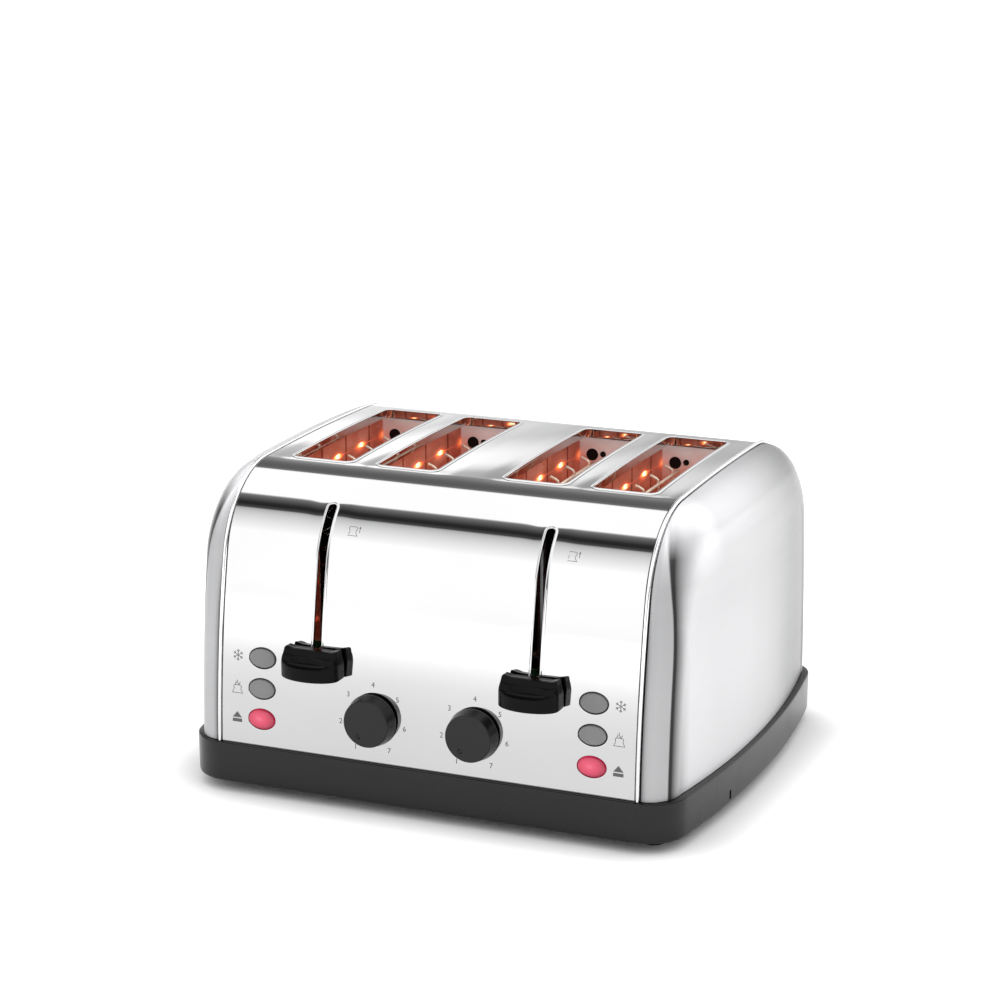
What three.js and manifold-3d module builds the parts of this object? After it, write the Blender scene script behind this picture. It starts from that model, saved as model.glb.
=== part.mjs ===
// Electric toaster with four bread slots in two independent halves.
// Millimetres, +Z up, front towards -Y. The origin is on the floor, under the middle of the whole object.
// Every half has its own lever, browning dial, three buttons, heaters and crumb tray.

import * as THREE from 'three';
import { mergeVertices } from 'three/addons/utils/BufferGeometryUtils.js';
import Module from 'manifold-3d';

const wasm = await Module();
wasm.setup();

// Clearances that all pieces share.
const seatGap = 0.3;
const runningGap = 0.5;
const cutOverrun = 4;

// Smoothness of round stretches, in steps.
const wallSteps = 3;
const bendSteps = 9;
const crownSteps = 2;
const cornerSteps = 4;
const rimCornerSteps = 3;
const endRoundness = 0.999;
const sideSteps = 6;
const roundSides = 20;
const smallRoundSides = 10;

// Stance and base.
const footHeight = 6.8;
const footTopRadius = 8.5;
const footTreadRadius = 7;
const footTreadHeight = 2;
const footSideInset = 30;
const footEndInset = 25;
const baseHeight = 24.2;
const baseFrontStep = 3.1;
const baseSideStep = 3.6;
const baseCornerRadius = 26;
const baseWall = 3;
const baseFloor = 2;
const baseLedgeWidth = 8;
const baseLedgeThickness = 2.5;
const notchWidth = 2.5;
const notchHeight = 5.5;
const notchDepth = 1.8;
const notchRise = 2.8;
const notchForward = 59;

// Polished panel that wraps the front, the top and the back in one sheet.
const panelRise = 160.5;
const panelSheet = 1.2;
const crownRadius = 2128;
const crownHalfSpan = 71.2;
const bendRadius = 55.9;
const wallRadius = 650;

// Bread slots in the top, in two pairs.
const slotWidth = 38;
const slotLength = 134.4;
const slotCornerRadius = 5;
const slotPairWeb = 17.1;
const slotMiddleWeb = 43.4;
const slotEdgeWeb = 15.1;
const slotFrontWeb = 69.7;
const lipWidth = 1.6;
const lipHeight = 0.8;

// Brushed end covers.
const coverBulge = 30.1;
const coverSideRadius = 641;
const coverFrontShare = 0.53;
const coverTopShare = 1.2;
const coverBlendAngle = THREE.MathUtils.degToRad(34);
const coverDrop = 0.6;
const coverSheet = 1.5;
const coverTongue = 4;
const beadRadius = 1.15;
const beadGap = 0.6;
const coverRoundSteps = 6;
const coverFaceSteps = 3;
const coverSpineShare = 0.45;

// Lever, its slot and its travel.
const leverTravel = 80;
const leverSlotWidth = 5;
const leverSlotTopDrop = 16.3;
const leverRimWidth = 2.2;
const leverRimHeight = 0.8;
const stemHeight = 7;
const stemThickness = 3;
const stemLowZ = 86.5;
const stemFootGap = 2;
const leverHalfWidth = 18.2;
const leverDepth = 17.6;
const leverStraightDepth = 7.5;
const leverPanelGap = 0.8;
const leverFootDrop = 6.5;
const leverLipHeight = 9;
const leverRidgeHeight = 16.8;
const leverNoseSteps = 8;
const leverSideShares = [
  [0, 0], [0.97, 0], [1, 0.04], [1, 0.5], [0.95, 0.54], [0.56, 0.6], [0.52, 0.78],
  [0.36, 0.82], [0.32, 0.97], [0.27, 1], [0, 1],
];
const leverDishShares = { width: 0.7, depth: 0.26, height: 0.26, fromNose: 0.27 };
const stemDepth = 7.2;

// Browning dials.
const dialOffset = 32;
const dialZ = 57.2;
const dialRadius = 15.7;
const dialFaceRadius = 14.2;
const dialDepth = 8.7;
const dialEdgeRadius = 1;
const dialFirstMarkAngle = THREE.MathUtils.degToRad(239);
const dialDimpleRadius = 1.7;
const dialDimpleOffset = 9.3;
const shaftRadius = 3;
const shaftBite = 5.5;
const potRadius = 8;
const potDepth = 9.5;
const potShaftBite = 4;

// Push buttons, one column in each half.
const buttonEdgeInset = 26;
const buttonHoleHalfWidth = 8.75;
const buttonHoleHalfHeight = 6.25;
const buttonTopZ = 84.6;
const buttonPitch = 18.45;
const buttonProud = 1.4;
const buttonDome = 1.5;
const buttonDomeShares = [[0, 0], [0.45, 0.12], [0.8, 0.42], [1, 1]];
const buttonFlangeWidth = 1.8;
const buttonFlangeThickness = 1.5;
const buttonFlangeGap = 0.8;
const buttonStemRadius = 2;
const switchSize = 8;
const switchHeight = 5;
const switchStemBite = 1.5;

// Chassis plates in front of and behind the slots.
const chassisMargin = 9.8;
const chassisSheet = 1;
const chassisHalfGap = 8;
const chassisTopGap = 15.5;
const rearPlateTopGap = 9.5;
const chassisLegWidth = 5;
const armSlotWidth = 6;
const armSlotMargin = 2;
const wingFootZ = 40;
const wingTopZ = 92;
const topLugWidth = 42;
const topLugTongue = 4.5;
const topLugSheet = 1.5;
const topLugDepth = 16;

// Control board behind the front panel.
const boardSetback = 25;
const boardThickness = 1.6;
const boardNotchWidth = 14;
const boardNotchDepth = 14;
const relayWidth = 16;
const relayHeight = 12;
const relayDepth = 10;
const relayRise = 8.5;
const relayPitch = 15.5;

// Lifting carriage.
const bracketGap = 2;
const bracketSheet = 1.5;
const riserHeight = 46;
const crossbarHeight = 10;
const crossbarReach = 6;
const riserWidth = 28;
const lugSheet = 2;
const lugWidth = 11;
const lugDepth = 12.5;
const tabDepth = 16.5;
const tabWidth = 28;
const rackHalfWidth = 13;
const rackBarWidth = 3;
const rackBarDrop = 1;
const rackBarThickness = 2;
const rackBars = 7;
const rackSpine = 4;
const rackArmHeight = 8;
const rackEndReach = 4;
const rodRadius = 2.5;
const rodOffset = 14;
const rodForward = 6.5;
const springOffset = 14;
const springRadius = 4;
const springWire = 0.6;
const springTurns = 12;

// Latch magnet under the carriage.
const magnetWidth = 16;
const magnetDepth = 12;
const magnetCoilShare = 0.55;
const magnetCoilExtra = 2;
const magnetFootWidth = 20;
const magnetFootSheet = 2;

// Heaters: a mica board wound with flat heating ribbon.
const heaterThickness = 1;
const heaterFootZ = 38;
const heaterTopGap = 8.5;
const ribbonTurns = 6;
const ribbonHeight = 1.6;
const ribbonProud = 0.4;

// Wire guards that keep the bread off the heaters.
const guardInset = 2.5;
const guardWire = 1.6;
const guardRail = 2;
const guardRailInset = 3;
const guardWires = 6;
const guardFootZ = 42;
const guardKneeDrop = 13.4;
const guardTopRise = 2.8;
const guardFlare = 5;

// Crumb trays that pull out of the back of the base.
const traySheet = 1;
const trayWallHeight = 6;
const traySideMargin = 6;
const trayFaceMargin = 2;
const trayFaceHeight = 13;
const trayFaceSheet = 2;
const trayGripWidth = 46;
const trayGripReach = 5;
const trayStartGap = 4.9;

// Supply side: where a cord enters, and its terminals.
const glandFlangeRadius = 8;
const glandFlangeSheet = 3;
const glandBarrelRadius = 5.5;
const glandBoreRadius = 3.6;
const glandRise = 10;
const terminalWidth = 24;
const terminalDepth = 14;
const terminalHeight = 15;
const terminalSetback = 22;
const terminalWells = 2;
const terminalWellShare = 0.45;

// Outer sizes worked out from the sizes above.
const baseTop = footHeight + baseHeight;
const floorTop = footHeight + baseFloor;
const seatZ = baseTop + seatGap;
const apexZ = baseTop + panelRise;
const panelHalfDepth = slotLength / 2 + slotFrontWeb;
const panelHalfWidth = slotMiddleWeb / 2 + 2 * slotWidth + slotPairWeb + slotEdgeWeb;
const coverHalfWidth = panelHalfWidth + coverBulge;
const baseHalfDepth = panelHalfDepth + baseFrontStep;
const baseHalfWidth = coverHalfWidth + baseSideStep;
const baseSideRadius = coverSideRadius;

// Finishes.
const finish = (color, roughness, metalness) => ({ color, roughness, metalness });
const polishedSteel = finish(0xe4e4e6, 0.08, 1);
const brushedSteel = finish(0xc9c9cb, 0.35, 1);
const blackPlastic = finish(0x1d1d1f, 0.45, 0);
const blackRubber = finish(0x141414, 0.85, 0);
const greyButton = finish(0x828284, 0.5, 0);
const litButton = finish(0xf03c6c, 0.35, 0);
const galvanisedSteel = finish(0xa9abad, 0.5, 1);
const mica = finish(0xb5602f, 0.7, 0);
const wireSteel = finish(0xc4c0ba, 0.4, 1);
const boardGreen = finish(0x2f5a3a, 0.6, 0);
const copperCoil = finish(0xa8642f, 0.4, 1);
const paleResin = finish(0xd9d4c4, 0.6, 0);

// Triangles of a geometry as one closed body: shared corners merged, empty faces dropped, faces outwards.
function closedBody(source) {
  const bare = new THREE.BufferGeometry();
  bare.setAttribute('position', source.getAttribute('position').clone());
  if (source.index) {
    bare.setIndex(source.index.clone());
  }
  const merged = mergeVertices(bare);
  const place = merged.getAttribute('position');
  const corners = [new THREE.Vector3(), new THREE.Vector3(), new THREE.Vector3()];
  const kept = [];
  let volume = 0;
  for (let face = 0; face < merged.index.count; face += 3) {
    const triple = [0, 1, 2].map((corner) => merged.index.getX(face + corner));
    if (new Set(triple).size === 3) {
      triple.forEach((vertex, corner) => corners[corner].fromBufferAttribute(place, vertex));
      volume += corners[0].dot(corners[1].clone().cross(corners[2]));
      kept.push(triple);
    }
  }
  merged.setIndex(kept.flatMap(([a, b, c]) => (volume < 0 ? [a, c, b] : [a, b, c])));
  return merged;
}

function solidOf(geometry) {
  const body = closedBody(geometry);
  return new wasm.Manifold(new wasm.Mesh({
    numProp: 3,
    vertProperties: new Float32Array(body.getAttribute('position').array),
    triVerts: new Uint32Array(body.index.array),
  }));
}

function geometryOf(solid) {
  const mesh = solid.getMesh();
  const geometry = new THREE.BufferGeometry();
  geometry.setAttribute('position', new THREE.BufferAttribute(new Float32Array(mesh.vertProperties), 3));
  geometry.setIndex(new THREE.BufferAttribute(new Uint32Array(mesh.triVerts), 1));
  return geometry;
}

const joined = (solids) => solids.reduce((sum, solid) => sum.add(solid));

// A block between two corners.
function block([x0, x1], [y0, y1], [z0, z1]) {
  const geometry = new THREE.BoxGeometry(x1 - x0, y1 - y0, z1 - z0);
  return solidOf(geometry.translate((x0 + x1) / 2, (y0 + y1) / 2, (z0 + z1) / 2));
}

// A round bar along Z or Y.
function uprightBar(x, y, radius, z0, z1, sides) {
  const geometry = new THREE.CylinderGeometry(radius, radius, z1 - z0, sides).rotateX(Math.PI / 2);
  return solidOf(geometry.translate(x, y, (z0 + z1) / 2));
}

function levelBar(x, z, radius, y0, y1, sides) {
  const geometry = new THREE.CylinderGeometry(radius, radius, y1 - y0, sides);
  return solidOf(geometry.translate(x, (y0 + y1) / 2, z));
}

// A round piece turned about a line along Y: its profile holds pairs of radius and Y.
function turnedAlongY(x, z, profile, sides, widthShare = 1, heightShare = 1) {
  const geometry = new THREE.LatheGeometry(profile.map(([radius, y]) => new THREE.Vector2(radius, y)), sides);
  return solidOf(geometry.scale(widthShare, 1, heightShare).translate(x, 0, z));
}

// An outline given as Y and Z, carried along X; as X and Z, carried along Y; as X and Y, carried along Z.
const acrossX = new THREE.Matrix4().makeBasis(
  new THREE.Vector3(0, 1, 0), new THREE.Vector3(0, 0, 1), new THREE.Vector3(1, 0, 0));
const acrossY = new THREE.Matrix4().makeBasis(
  new THREE.Vector3(1, 0, 0), new THREE.Vector3(0, 0, 1), new THREE.Vector3(0, -1, 0));

function carried(points, depth) {
  return new THREE.ExtrudeGeometry(new THREE.Shape(points), { depth, bevelEnabled: false });
}

function carriedAlongX(points, x0, x1) {
  return solidOf(carried(points, x1 - x0).applyMatrix4(acrossX).translate(x0, 0, 0));
}

function carriedAlongY(points, y0, y1) {
  return solidOf(carried(points, y1 - y0).applyMatrix4(acrossY).translate(0, y1, 0));
}

function carriedAlongZ(points, z0, z1) {
  return solidOf(carried(points, z1 - z0).translate(0, 0, z0));
}

// A rectangle with round corners about a centre.
function roundedOutline(centreX, centreY, halfWidth, halfHeight, radius, steps) {
  const points = [];
  for (let corner = 0; corner < 4; corner += 1) {
    const towardsX = corner === 0 || corner === 3 ? 1 : -1;
    const towardsY = corner < 2 ? 1 : -1;
    for (let step = 0; step <= steps; step += 1) {
      const angle = (corner + step / steps) * Math.PI / 2;
      points.push(new THREE.Vector2(
        centreX + towardsX * (halfWidth - radius) + radius * Math.cos(angle),
        centreY + towardsY * (halfHeight - radius) + radius * Math.sin(angle)));
    }
  }
  return points;
}

// The arch in the Y-Z plane: a flat crown, a bend and a nearly upright wall, each an arc tangent to the next.
const crownAngle = Math.asin(crownHalfSpan / crownRadius);
const crownCentre = new THREE.Vector2(0, apexZ - crownRadius);
const bendCentre = new THREE.Vector2(Math.sin(crownAngle), Math.cos(crownAngle))
  .multiplyScalar(crownRadius - bendRadius).add(crownCentre);
const footFromBend = new THREE.Vector2(panelHalfDepth, seatZ).sub(bendCentre);
const centreStep = bendRadius - wallRadius;
const wallTurn = Math.acos(
  (footFromBend.lengthSq() + centreStep ** 2 - wallRadius ** 2) / (2 * centreStep * footFromBend.length()));
const wallAngle = Math.atan2(footFromBend.x, footFromBend.y) - wallTurn;
const wallCentre = new THREE.Vector2(Math.sin(wallAngle), Math.cos(wallAngle))
  .multiplyScalar(centreStep).add(bendCentre);
const footAngle = (inset) => Math.acos((seatZ - wallCentre.y) / (wallRadius - inset));
const archArcs = {
  wall: { centre: wallCentre, radius: wallRadius, steps: wallSteps, from: footAngle, to: wallAngle },
  bend: { centre: bendCentre, radius: bendRadius, steps: bendSteps, from: () => wallAngle, to: crownAngle },
  crown: { centre: crownCentre, radius: crownRadius, steps: crownSteps, from: () => crownAngle, to: 0 },
};

function archStations() {
  const stations = [{ arc: archArcs.wall, share: 0, side: -1 }];
  for (const arc of Object.values(archArcs)) {
    for (let step = 1; step <= arc.steps; step += 1) {
      stations.push({ arc, share: step / arc.steps, side: -1 });
    }
  }
  const back = stations.slice(0, -1).reverse().map((station) => ({ ...station, side: 1 }));
  return [...stations, ...back];
}

const archAngle = ({ arc, share }, inset) => THREE.MathUtils.lerp(arc.from(inset), arc.to, share);

// A point of the arch, moved inwards from the panel's outer face.
function archPoint(station, inset) {
  const angle = archAngle(station, inset);
  const radius = station.arc.radius - inset;
  const depth = station.arc.centre.x + radius * Math.sin(angle);
  return new THREE.Vector2(station.side * depth, station.arc.centre.y + radius * Math.cos(angle));
}

// How far in front of the middle the panel's outer face stands at a height on the wall arc.
const panelDepthAt = (z) => wallCentre.x + Math.sqrt(wallRadius ** 2 - (z - wallCentre.y) ** 2);

// Places of the inner pieces and of the controls, worked out from the shell around them.
const slotCentres = [
  slotMiddleWeb / 2 + slotWidth / 2,
  slotMiddleWeb / 2 + slotWidth * 1.5 + slotPairWeb,
];
const leverX = (slotCentres[0] + slotCentres[1]) / 2;
const heaterInnerX = slotMiddleWeb / 2 - slotPairWeb / 2;
const heaterXs = [heaterInnerX, leverX, 2 * leverX - heaterInnerX];
const plateInnerY = slotLength / 2 + chassisMargin;
const plateOuterY = plateInnerY + chassisSheet;
const chassisOuterX = 2 * leverX - chassisHalfGap;
const chassisTop = apexZ - chassisTopGap;
const rearPlateTop = apexZ - rearPlateTopGap;
const heaterTop = apexZ - heaterTopGap;
const heaterHeight = heaterTop - heaterFootZ;
const guardKneeZ = heaterTop - guardKneeDrop;
const topLugZ = chassisTop + topLugTongue - topLugSheet;
const bracketY = plateOuterY + bracketGap;
const bracketFrontY = bracketY + bracketSheet;
const stemTopZ = stemLowZ + stemHeight;
const carriageZ = stemTopZ + seatGap - riserHeight;
const riserTopZ = carriageZ + riserHeight;
const rodX = leverX - rodOffset;
const rodY = bracketFrontY + rodForward;
const springX = leverX + springOffset;
const boardFrontY = panelHalfDepth - boardSetback;
const boardY = boardFrontY - boardThickness;
const leverFootZ = stemLowZ - leverFootDrop;
const leverBackY = panelDepthAt(leverFootZ) + leverPanelGap;
const leverNoseY = leverBackY + leverDepth;
const stemEndY = leverBackY + stemDepth;
const leverSlotTop = apexZ - leverSlotTopDrop;
const leverSlotFoot = stemLowZ - stemFootGap;
const buttonOffset = panelHalfWidth - buttonEdgeInset;
const buttonZs = [0, 1, 2].map((row) => buttonTopZ - row * buttonPitch);
const trayFaceY = baseHalfDepth + seatGap + trayFaceSheet;
const glandFaceY = baseHalfDepth + seatGap + glandFlangeSheet;
const rearY = Math.max(glandFaceY, trayFaceY + trayGripReach);
const objectShiftY = (leverNoseY - rearY) / 2;

function archBand(outerInset, innerInset, x0, x1) {
  const outer = archStations().map((station) => archPoint(station, outerInset));
  const inner = archStations().map((station) => archPoint(station, innerInset)).reverse();
  return carriedAlongX([...outer, ...inner], x0, x1);
}

function leverSlotOutline(centreX, margin) {
  const halfHeight = (leverSlotTop - leverSlotFoot) / 2 + margin;
  const halfWidth = leverSlotWidth / 2 + margin;
  const middleZ = (leverSlotTop + leverSlotFoot) / 2;
  return roundedOutline(centreX, middleZ, halfWidth, halfHeight, halfWidth * endRoundness, rimCornerSteps);
}

function slotOutline(centreX, margin) {
  const halfWidth = slotWidth / 2 + margin;
  const halfLength = slotLength / 2 + margin;
  return roundedOutline(centreX, 0, halfWidth, halfLength, slotCornerRadius + margin, rimCornerSteps);
}

// Polished panel with its pressed slot rims and the holes for the controls.
function wrapPanel() {
  const sheet = archBand(0, panelSheet, -panelHalfWidth, panelHalfWidth);
  const frontOfCuts = -panelHalfDepth - cutOverrun;
  const backOfCuts = -bendCentre.x;
  const passAlongY = [frontOfCuts, backOfCuts];
  const rims = [];
  const cuts = [];
  for (const side of [-1, 1]) {
    const rimX = side * leverX;
    const rimHalf = leverSlotWidth / 2 + leverRimWidth;
    const rimBand = archBand(-leverRimHeight, panelSheet / 2, rimX - rimHalf, rimX + rimHalf);
    rims.push(rimBand.intersect(carriedAlongY(leverSlotOutline(rimX, leverRimWidth), ...passAlongY)));
    cuts.push(carriedAlongY(leverSlotOutline(rimX, 0), ...passAlongY));
    for (const centre of slotCentres) {
      const lipX = side * centre;
      const lipHalf = slotWidth / 2 + lipWidth;
      const lipBand = archBand(-lipHeight, panelSheet / 2, lipX - lipHalf, lipX + lipHalf);
      const lipPrism = carriedAlongZ(slotOutline(lipX, lipWidth), apexZ - cutOverrun, apexZ + cutOverrun);
      rims.push(lipBand.intersect(lipPrism));
      cuts.push(carriedAlongZ(slotOutline(lipX, 0), apexZ - 2 * cutOverrun, apexZ + 2 * cutOverrun));
    }
    cuts.push(levelBar(side * dialOffset, dialZ, shaftRadius + runningGap, ...passAlongY, smallRoundSides));
    for (const z of buttonZs) {
      const hole = [[0, frontOfCuts], [1, frontOfCuts], [1, backOfCuts], [0, backOfCuts]];
      const halves = [buttonHoleHalfWidth, buttonHoleHalfHeight];
      cuts.push(turnedAlongY(side * buttonOffset, z, hole, roundSides, ...halves));
    }
  }
  return sheet.add(joined(rims)).subtract(joined(cuts));
}

// End cover in right-hand coordinates: a tongue under the panel, a bead, a round corner and a bowed face.
const coverSideX = (y) => coverHalfWidth - coverSideRadius + Math.sqrt(coverSideRadius ** 2 - y ** 2);

function coverRadiusAt(station) {
  const turned = (footAngle(0) - archAngle(station, 0)) / (footAngle(0) - coverBlendAngle);
  const share = THREE.MathUtils.smoothstep(turned, 0, 1);
  return coverBulge * THREE.MathUtils.lerp(coverFrontShare, coverTopShare, share);
}

function coverFacePoints(station, inward, startAngle) {
  const points = [];
  const radius = coverRadiusAt(station) - inward;
  for (let step = 0; step <= coverRoundSteps; step += 1) {
    const angle = THREE.MathUtils.lerp(startAngle, Math.PI / 2, step / coverRoundSteps);
    const edge = archPoint(station, coverDrop + inward + radius * (1 - Math.cos(angle)));
    const x = coverSideX(edge.x) - inward - radius * (1 - Math.sin(angle));
    points.push(new THREE.Vector3(x, edge.x, edge.y));
  }
  const rim = points[points.length - 1];
  const spineZ = Math.min(rim.z, THREE.MathUtils.lerp(baseTop, apexZ, coverSpineShare));
  for (let step = 1; step <= coverFaceSteps; step += 1) {
    const share = step / coverFaceSteps;
    const y = rim.y * (1 - share);
    points.push(new THREE.Vector3(coverSideX(y) - inward, y, THREE.MathUtils.lerp(rim.z, spineZ, share)));
  }
  return points;
}

const tongueX = panelHalfWidth - coverTongue;
const beadX = panelHalfWidth + beadGap + beadRadius;

function coverOuterRow(station) {
  const atInset = (x, inset) => {
    const edge = archPoint(station, inset);
    return new THREE.Vector3(x, edge.x, edge.y);
  };
  const tongueInset = panelSheet + seatGap;
  const row = [atInset(tongueX, tongueInset), atInset(beadX - beadRadius, tongueInset)];
  const beadSteps = 4;
  for (let step = 0; step <= beadSteps; step += 1) {
    const angle = Math.PI * step / beadSteps;
    row.push(atInset(beadX - beadRadius * Math.cos(angle), -beadRadius * Math.sin(angle)));
  }
  const radius = coverRadiusAt(station);
  const startX = beadX + beadRadius;
  const sideX = coverSideX(archPoint(station, coverDrop).x);
  const startAngle = Math.asin(THREE.MathUtils.clamp(1 - (sideX - startX) / radius, 0, 1));
  return [...row, ...coverFacePoints(station, 0, startAngle)];
}

function coverInnerRow(station, length) {
  const inset = panelSheet + seatGap + coverSheet;
  const radius = coverRadiusAt(station) - coverSheet;
  const startAngle = Math.acos(1 - (inset - coverDrop - coverSheet) / radius);
  const face = coverFacePoints(station, coverSheet, startAngle);
  const edge = archPoint(station, inset);
  const row = [new THREE.Vector3(tongueX, edge.x, edge.y)];
  while (row.length < length - face.length) {
    row.push(face[0].clone());
  }
  return [...row, ...face];
}

// A wall between two grids of points, closed along its first column and along its first and last rows.
function walledGrid(outerRows, innerRows) {
  const columns = outerRows[0].length;
  const lastRow = outerRows.length - 1;
  const outer = (row, column) => row * columns + column;
  const inner = (row, column) => (outerRows.length + row) * columns + column;
  const index = [];
  const quad = (a, b, c, d) => index.push(a, b, c, a, c, d);
  for (let row = 0; row < lastRow; row += 1) {
    for (let column = 0; column < columns - 1; column += 1) {
      quad(outer(row, column), outer(row + 1, column), outer(row + 1, column + 1), outer(row, column + 1));
      quad(inner(row, column), inner(row, column + 1), inner(row + 1, column + 1), inner(row + 1, column));
    }
    quad(outer(row + 1, 0), outer(row, 0), inner(row, 0), inner(row + 1, 0));
  }
  for (let column = 0; column < columns - 1; column += 1) {
    quad(outer(0, column), outer(0, column + 1), inner(0, column + 1), inner(0, column));
    const [near, far] = [column, column + 1];
    quad(outer(lastRow, far), outer(lastRow, near), inner(lastRow, near), inner(lastRow, far));
  }
  const geometry = new THREE.BufferGeometry().setFromPoints([...outerRows, ...innerRows].flat());
  geometry.setIndex(index);
  return geometry;
}

function endCover() {
  const outerRows = archStations().map(coverOuterRow);
  const innerRows = archStations().map((station) => coverInnerRow(station, outerRows[0].length));
  return closedBody(walledGrid(outerRows, innerRows));
}

// Plan outline of the base, moved inwards: straight front and back, round corners and bowed sides.
function planOutline(inset) {
  const sideCentreX = baseHalfWidth - baseSideRadius;
  const cornerY = baseHalfDepth - baseCornerRadius;
  const cornerX = sideCentreX + Math.sqrt((baseSideRadius - baseCornerRadius) ** 2 - cornerY ** 2);
  const sideAngle = Math.atan2(cornerY, cornerX - sideCentreX);
  const quarter = [];
  for (let step = 0; step <= cornerSteps; step += 1) {
    const angle = THREE.MathUtils.lerp(Math.PI / 2, sideAngle, step / cornerSteps);
    const radius = baseCornerRadius - inset;
    quarter.push([cornerX + radius * Math.cos(angle), cornerY + radius * Math.sin(angle)]);
  }
  for (let step = 1; step < sideSteps; step += 1) {
    const angle = THREE.MathUtils.lerp(sideAngle, -sideAngle, step / sideSteps);
    const radius = baseSideRadius - inset;
    quarter.push([sideCentreX + radius * Math.cos(angle), radius * Math.sin(angle)]);
  }
  const right = [...quarter, ...quarter.slice(0, cornerSteps + 1).reverse().map(([x, y]) => [x, -y])];
  const left = right.map(([x, y]) => [-x, y]).reverse();
  return [...right, ...left].map(([x, y]) => new THREE.Vector2(x, y));
}

const trayX = [chassisHalfGap + traySideMargin, chassisOuterX - traySideMargin];
const trayZ = [floorTop + seatGap, floorTop + seatGap + trayWallHeight];
const glandZ = floorTop + glandRise;

// Black base: a floor, a wall and an inward ledge that the shell stands on.
function baseShell() {
  const lowerPocketTop = baseTop - baseLedgeThickness;
  let base = carriedAlongZ(planOutline(0), footHeight, baseTop);
  base = base.subtract(carriedAlongZ(planOutline(baseWall), floorTop, lowerPocketTop));
  const mouth = carriedAlongZ(planOutline(baseLedgeWidth), lowerPocketTop - cutOverrun, baseTop + cutOverrun);
  base = base.subtract(mouth);
  const wallPass = [baseHalfDepth - baseWall - cutOverrun, baseHalfDepth + cutOverrun];
  for (const side of [-1, 1]) {
    const width = [trayX[0] - runningGap, trayX[1] + runningGap].map((x) => side * x).sort((a, b) => a - b);
    base = base.subtract(block(width, wallPass, [floorTop, trayZ[1] + runningGap]));
  }
  for (const side of [-1, 1]) {
    const sideFace = side * (coverSideX(notchForward) + baseSideStep);
    const across = [sideFace - notchDepth, sideFace + notchDepth];
    const along = [-notchForward - notchWidth / 2, -notchForward + notchWidth / 2];
    const upright = [footHeight + notchRise, footHeight + notchRise + notchHeight];
    base = base.subtract(block(across, along, upright));
  }
  return base.subtract(levelBar(0, glandZ, glandBarrelRadius + seatGap, ...wallPass, roundSides));
}

function foot() {
  const profile = [
    [0, 0], [footTreadRadius, 0], [footTreadRadius, footTreadHeight],
    [footTopRadius, footHeight - seatGap], [0, footHeight - seatGap],
  ];
  const points = profile.map(([radius, z]) => new THREE.Vector2(radius, z));
  return solidOf(new THREE.LatheGeometry(points, roundSides).rotateX(Math.PI / 2));
}

// Front plate of a chassis, with arm slots, side wings and the lug that holds the rod and the spring.
function frontPlate() {
  const topLugX = [rodX - lugWidth / 2, rodX - lugWidth / 2 + topLugWidth];
  const solids = [
    block([chassisHalfGap, chassisOuterX], [-plateOuterY, -plateInnerY], [floorTop + seatGap, chassisTop]),
    block(topLugX, [-plateOuterY, -plateInnerY], [chassisTop - cutOverrun, chassisTop + topLugTongue]),
    block(topLugX, [-plateOuterY - topLugDepth, -plateInnerY], [topLugZ, topLugZ + topLugSheet]),
  ];
  for (const x of [chassisHalfGap, chassisOuterX - chassisSheet]) {
    const wingY = [-boardY + seatGap, -plateInnerY];
    solids.push(block([x, x + chassisSheet], wingY, [wingFootZ, wingTopZ]));
  }
  const rodHole = uprightBar(
    rodX, -rodY, rodRadius + seatGap,
    topLugZ - cutOverrun, topLugZ + topLugSheet + cutOverrun, smallRoundSides);
  return joined(solids).subtract(armSlots(-1)).subtract(rodHole);
}

function armSlots(side) {
  const slotY = [side * plateInnerY - cutOverrun, side * plateInnerY + cutOverrun];
  const slotZ = [carriageZ - armSlotMargin, carriageZ + rackArmHeight + leverTravel + armSlotMargin];
  return joined(slotCentres.map((x) => block([x - armSlotWidth / 2, x + armSlotWidth / 2], slotY, slotZ)));
}

// Rear plate of a chassis: a bridge whose two legs stand beside the crumb tray.
function rearPlate() {
  const plate = block(
    [chassisHalfGap, chassisOuterX], [plateInnerY, plateOuterY], [floorTop + seatGap, rearPlateTop]);
  const passage = block(
    [chassisHalfGap + chassisLegWidth, chassisOuterX - chassisLegWidth],
    [plateInnerY - cutOverrun, plateOuterY + cutOverrun],
    [floorTop - cutOverrun, trayZ[1] + cutOverrun]);
  return plate.subtract(passage).subtract(armSlots(1));
}

function heater(x) {
  const reach = plateInnerY - seatGap;
  const half = heaterThickness / 2;
  const solids = [block([x - half, x + half], [-reach, reach], [heaterFootZ, heaterFootZ + heaterHeight])];
  const ribbonReach = slotLength / 2;
  for (let turn = 0; turn < ribbonTurns; turn += 1) {
    const z = heaterFootZ + heaterHeight * (turn + 0.5) / ribbonTurns;
    const ribbonHalf = half + ribbonProud;
    solids.push(block(
      [x - ribbonHalf, x + ribbonHalf],
      [-ribbonReach, ribbonReach],
      [z - ribbonHeight / 2, z + ribbonHeight / 2]));
  }
  return joined(solids);
}

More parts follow.
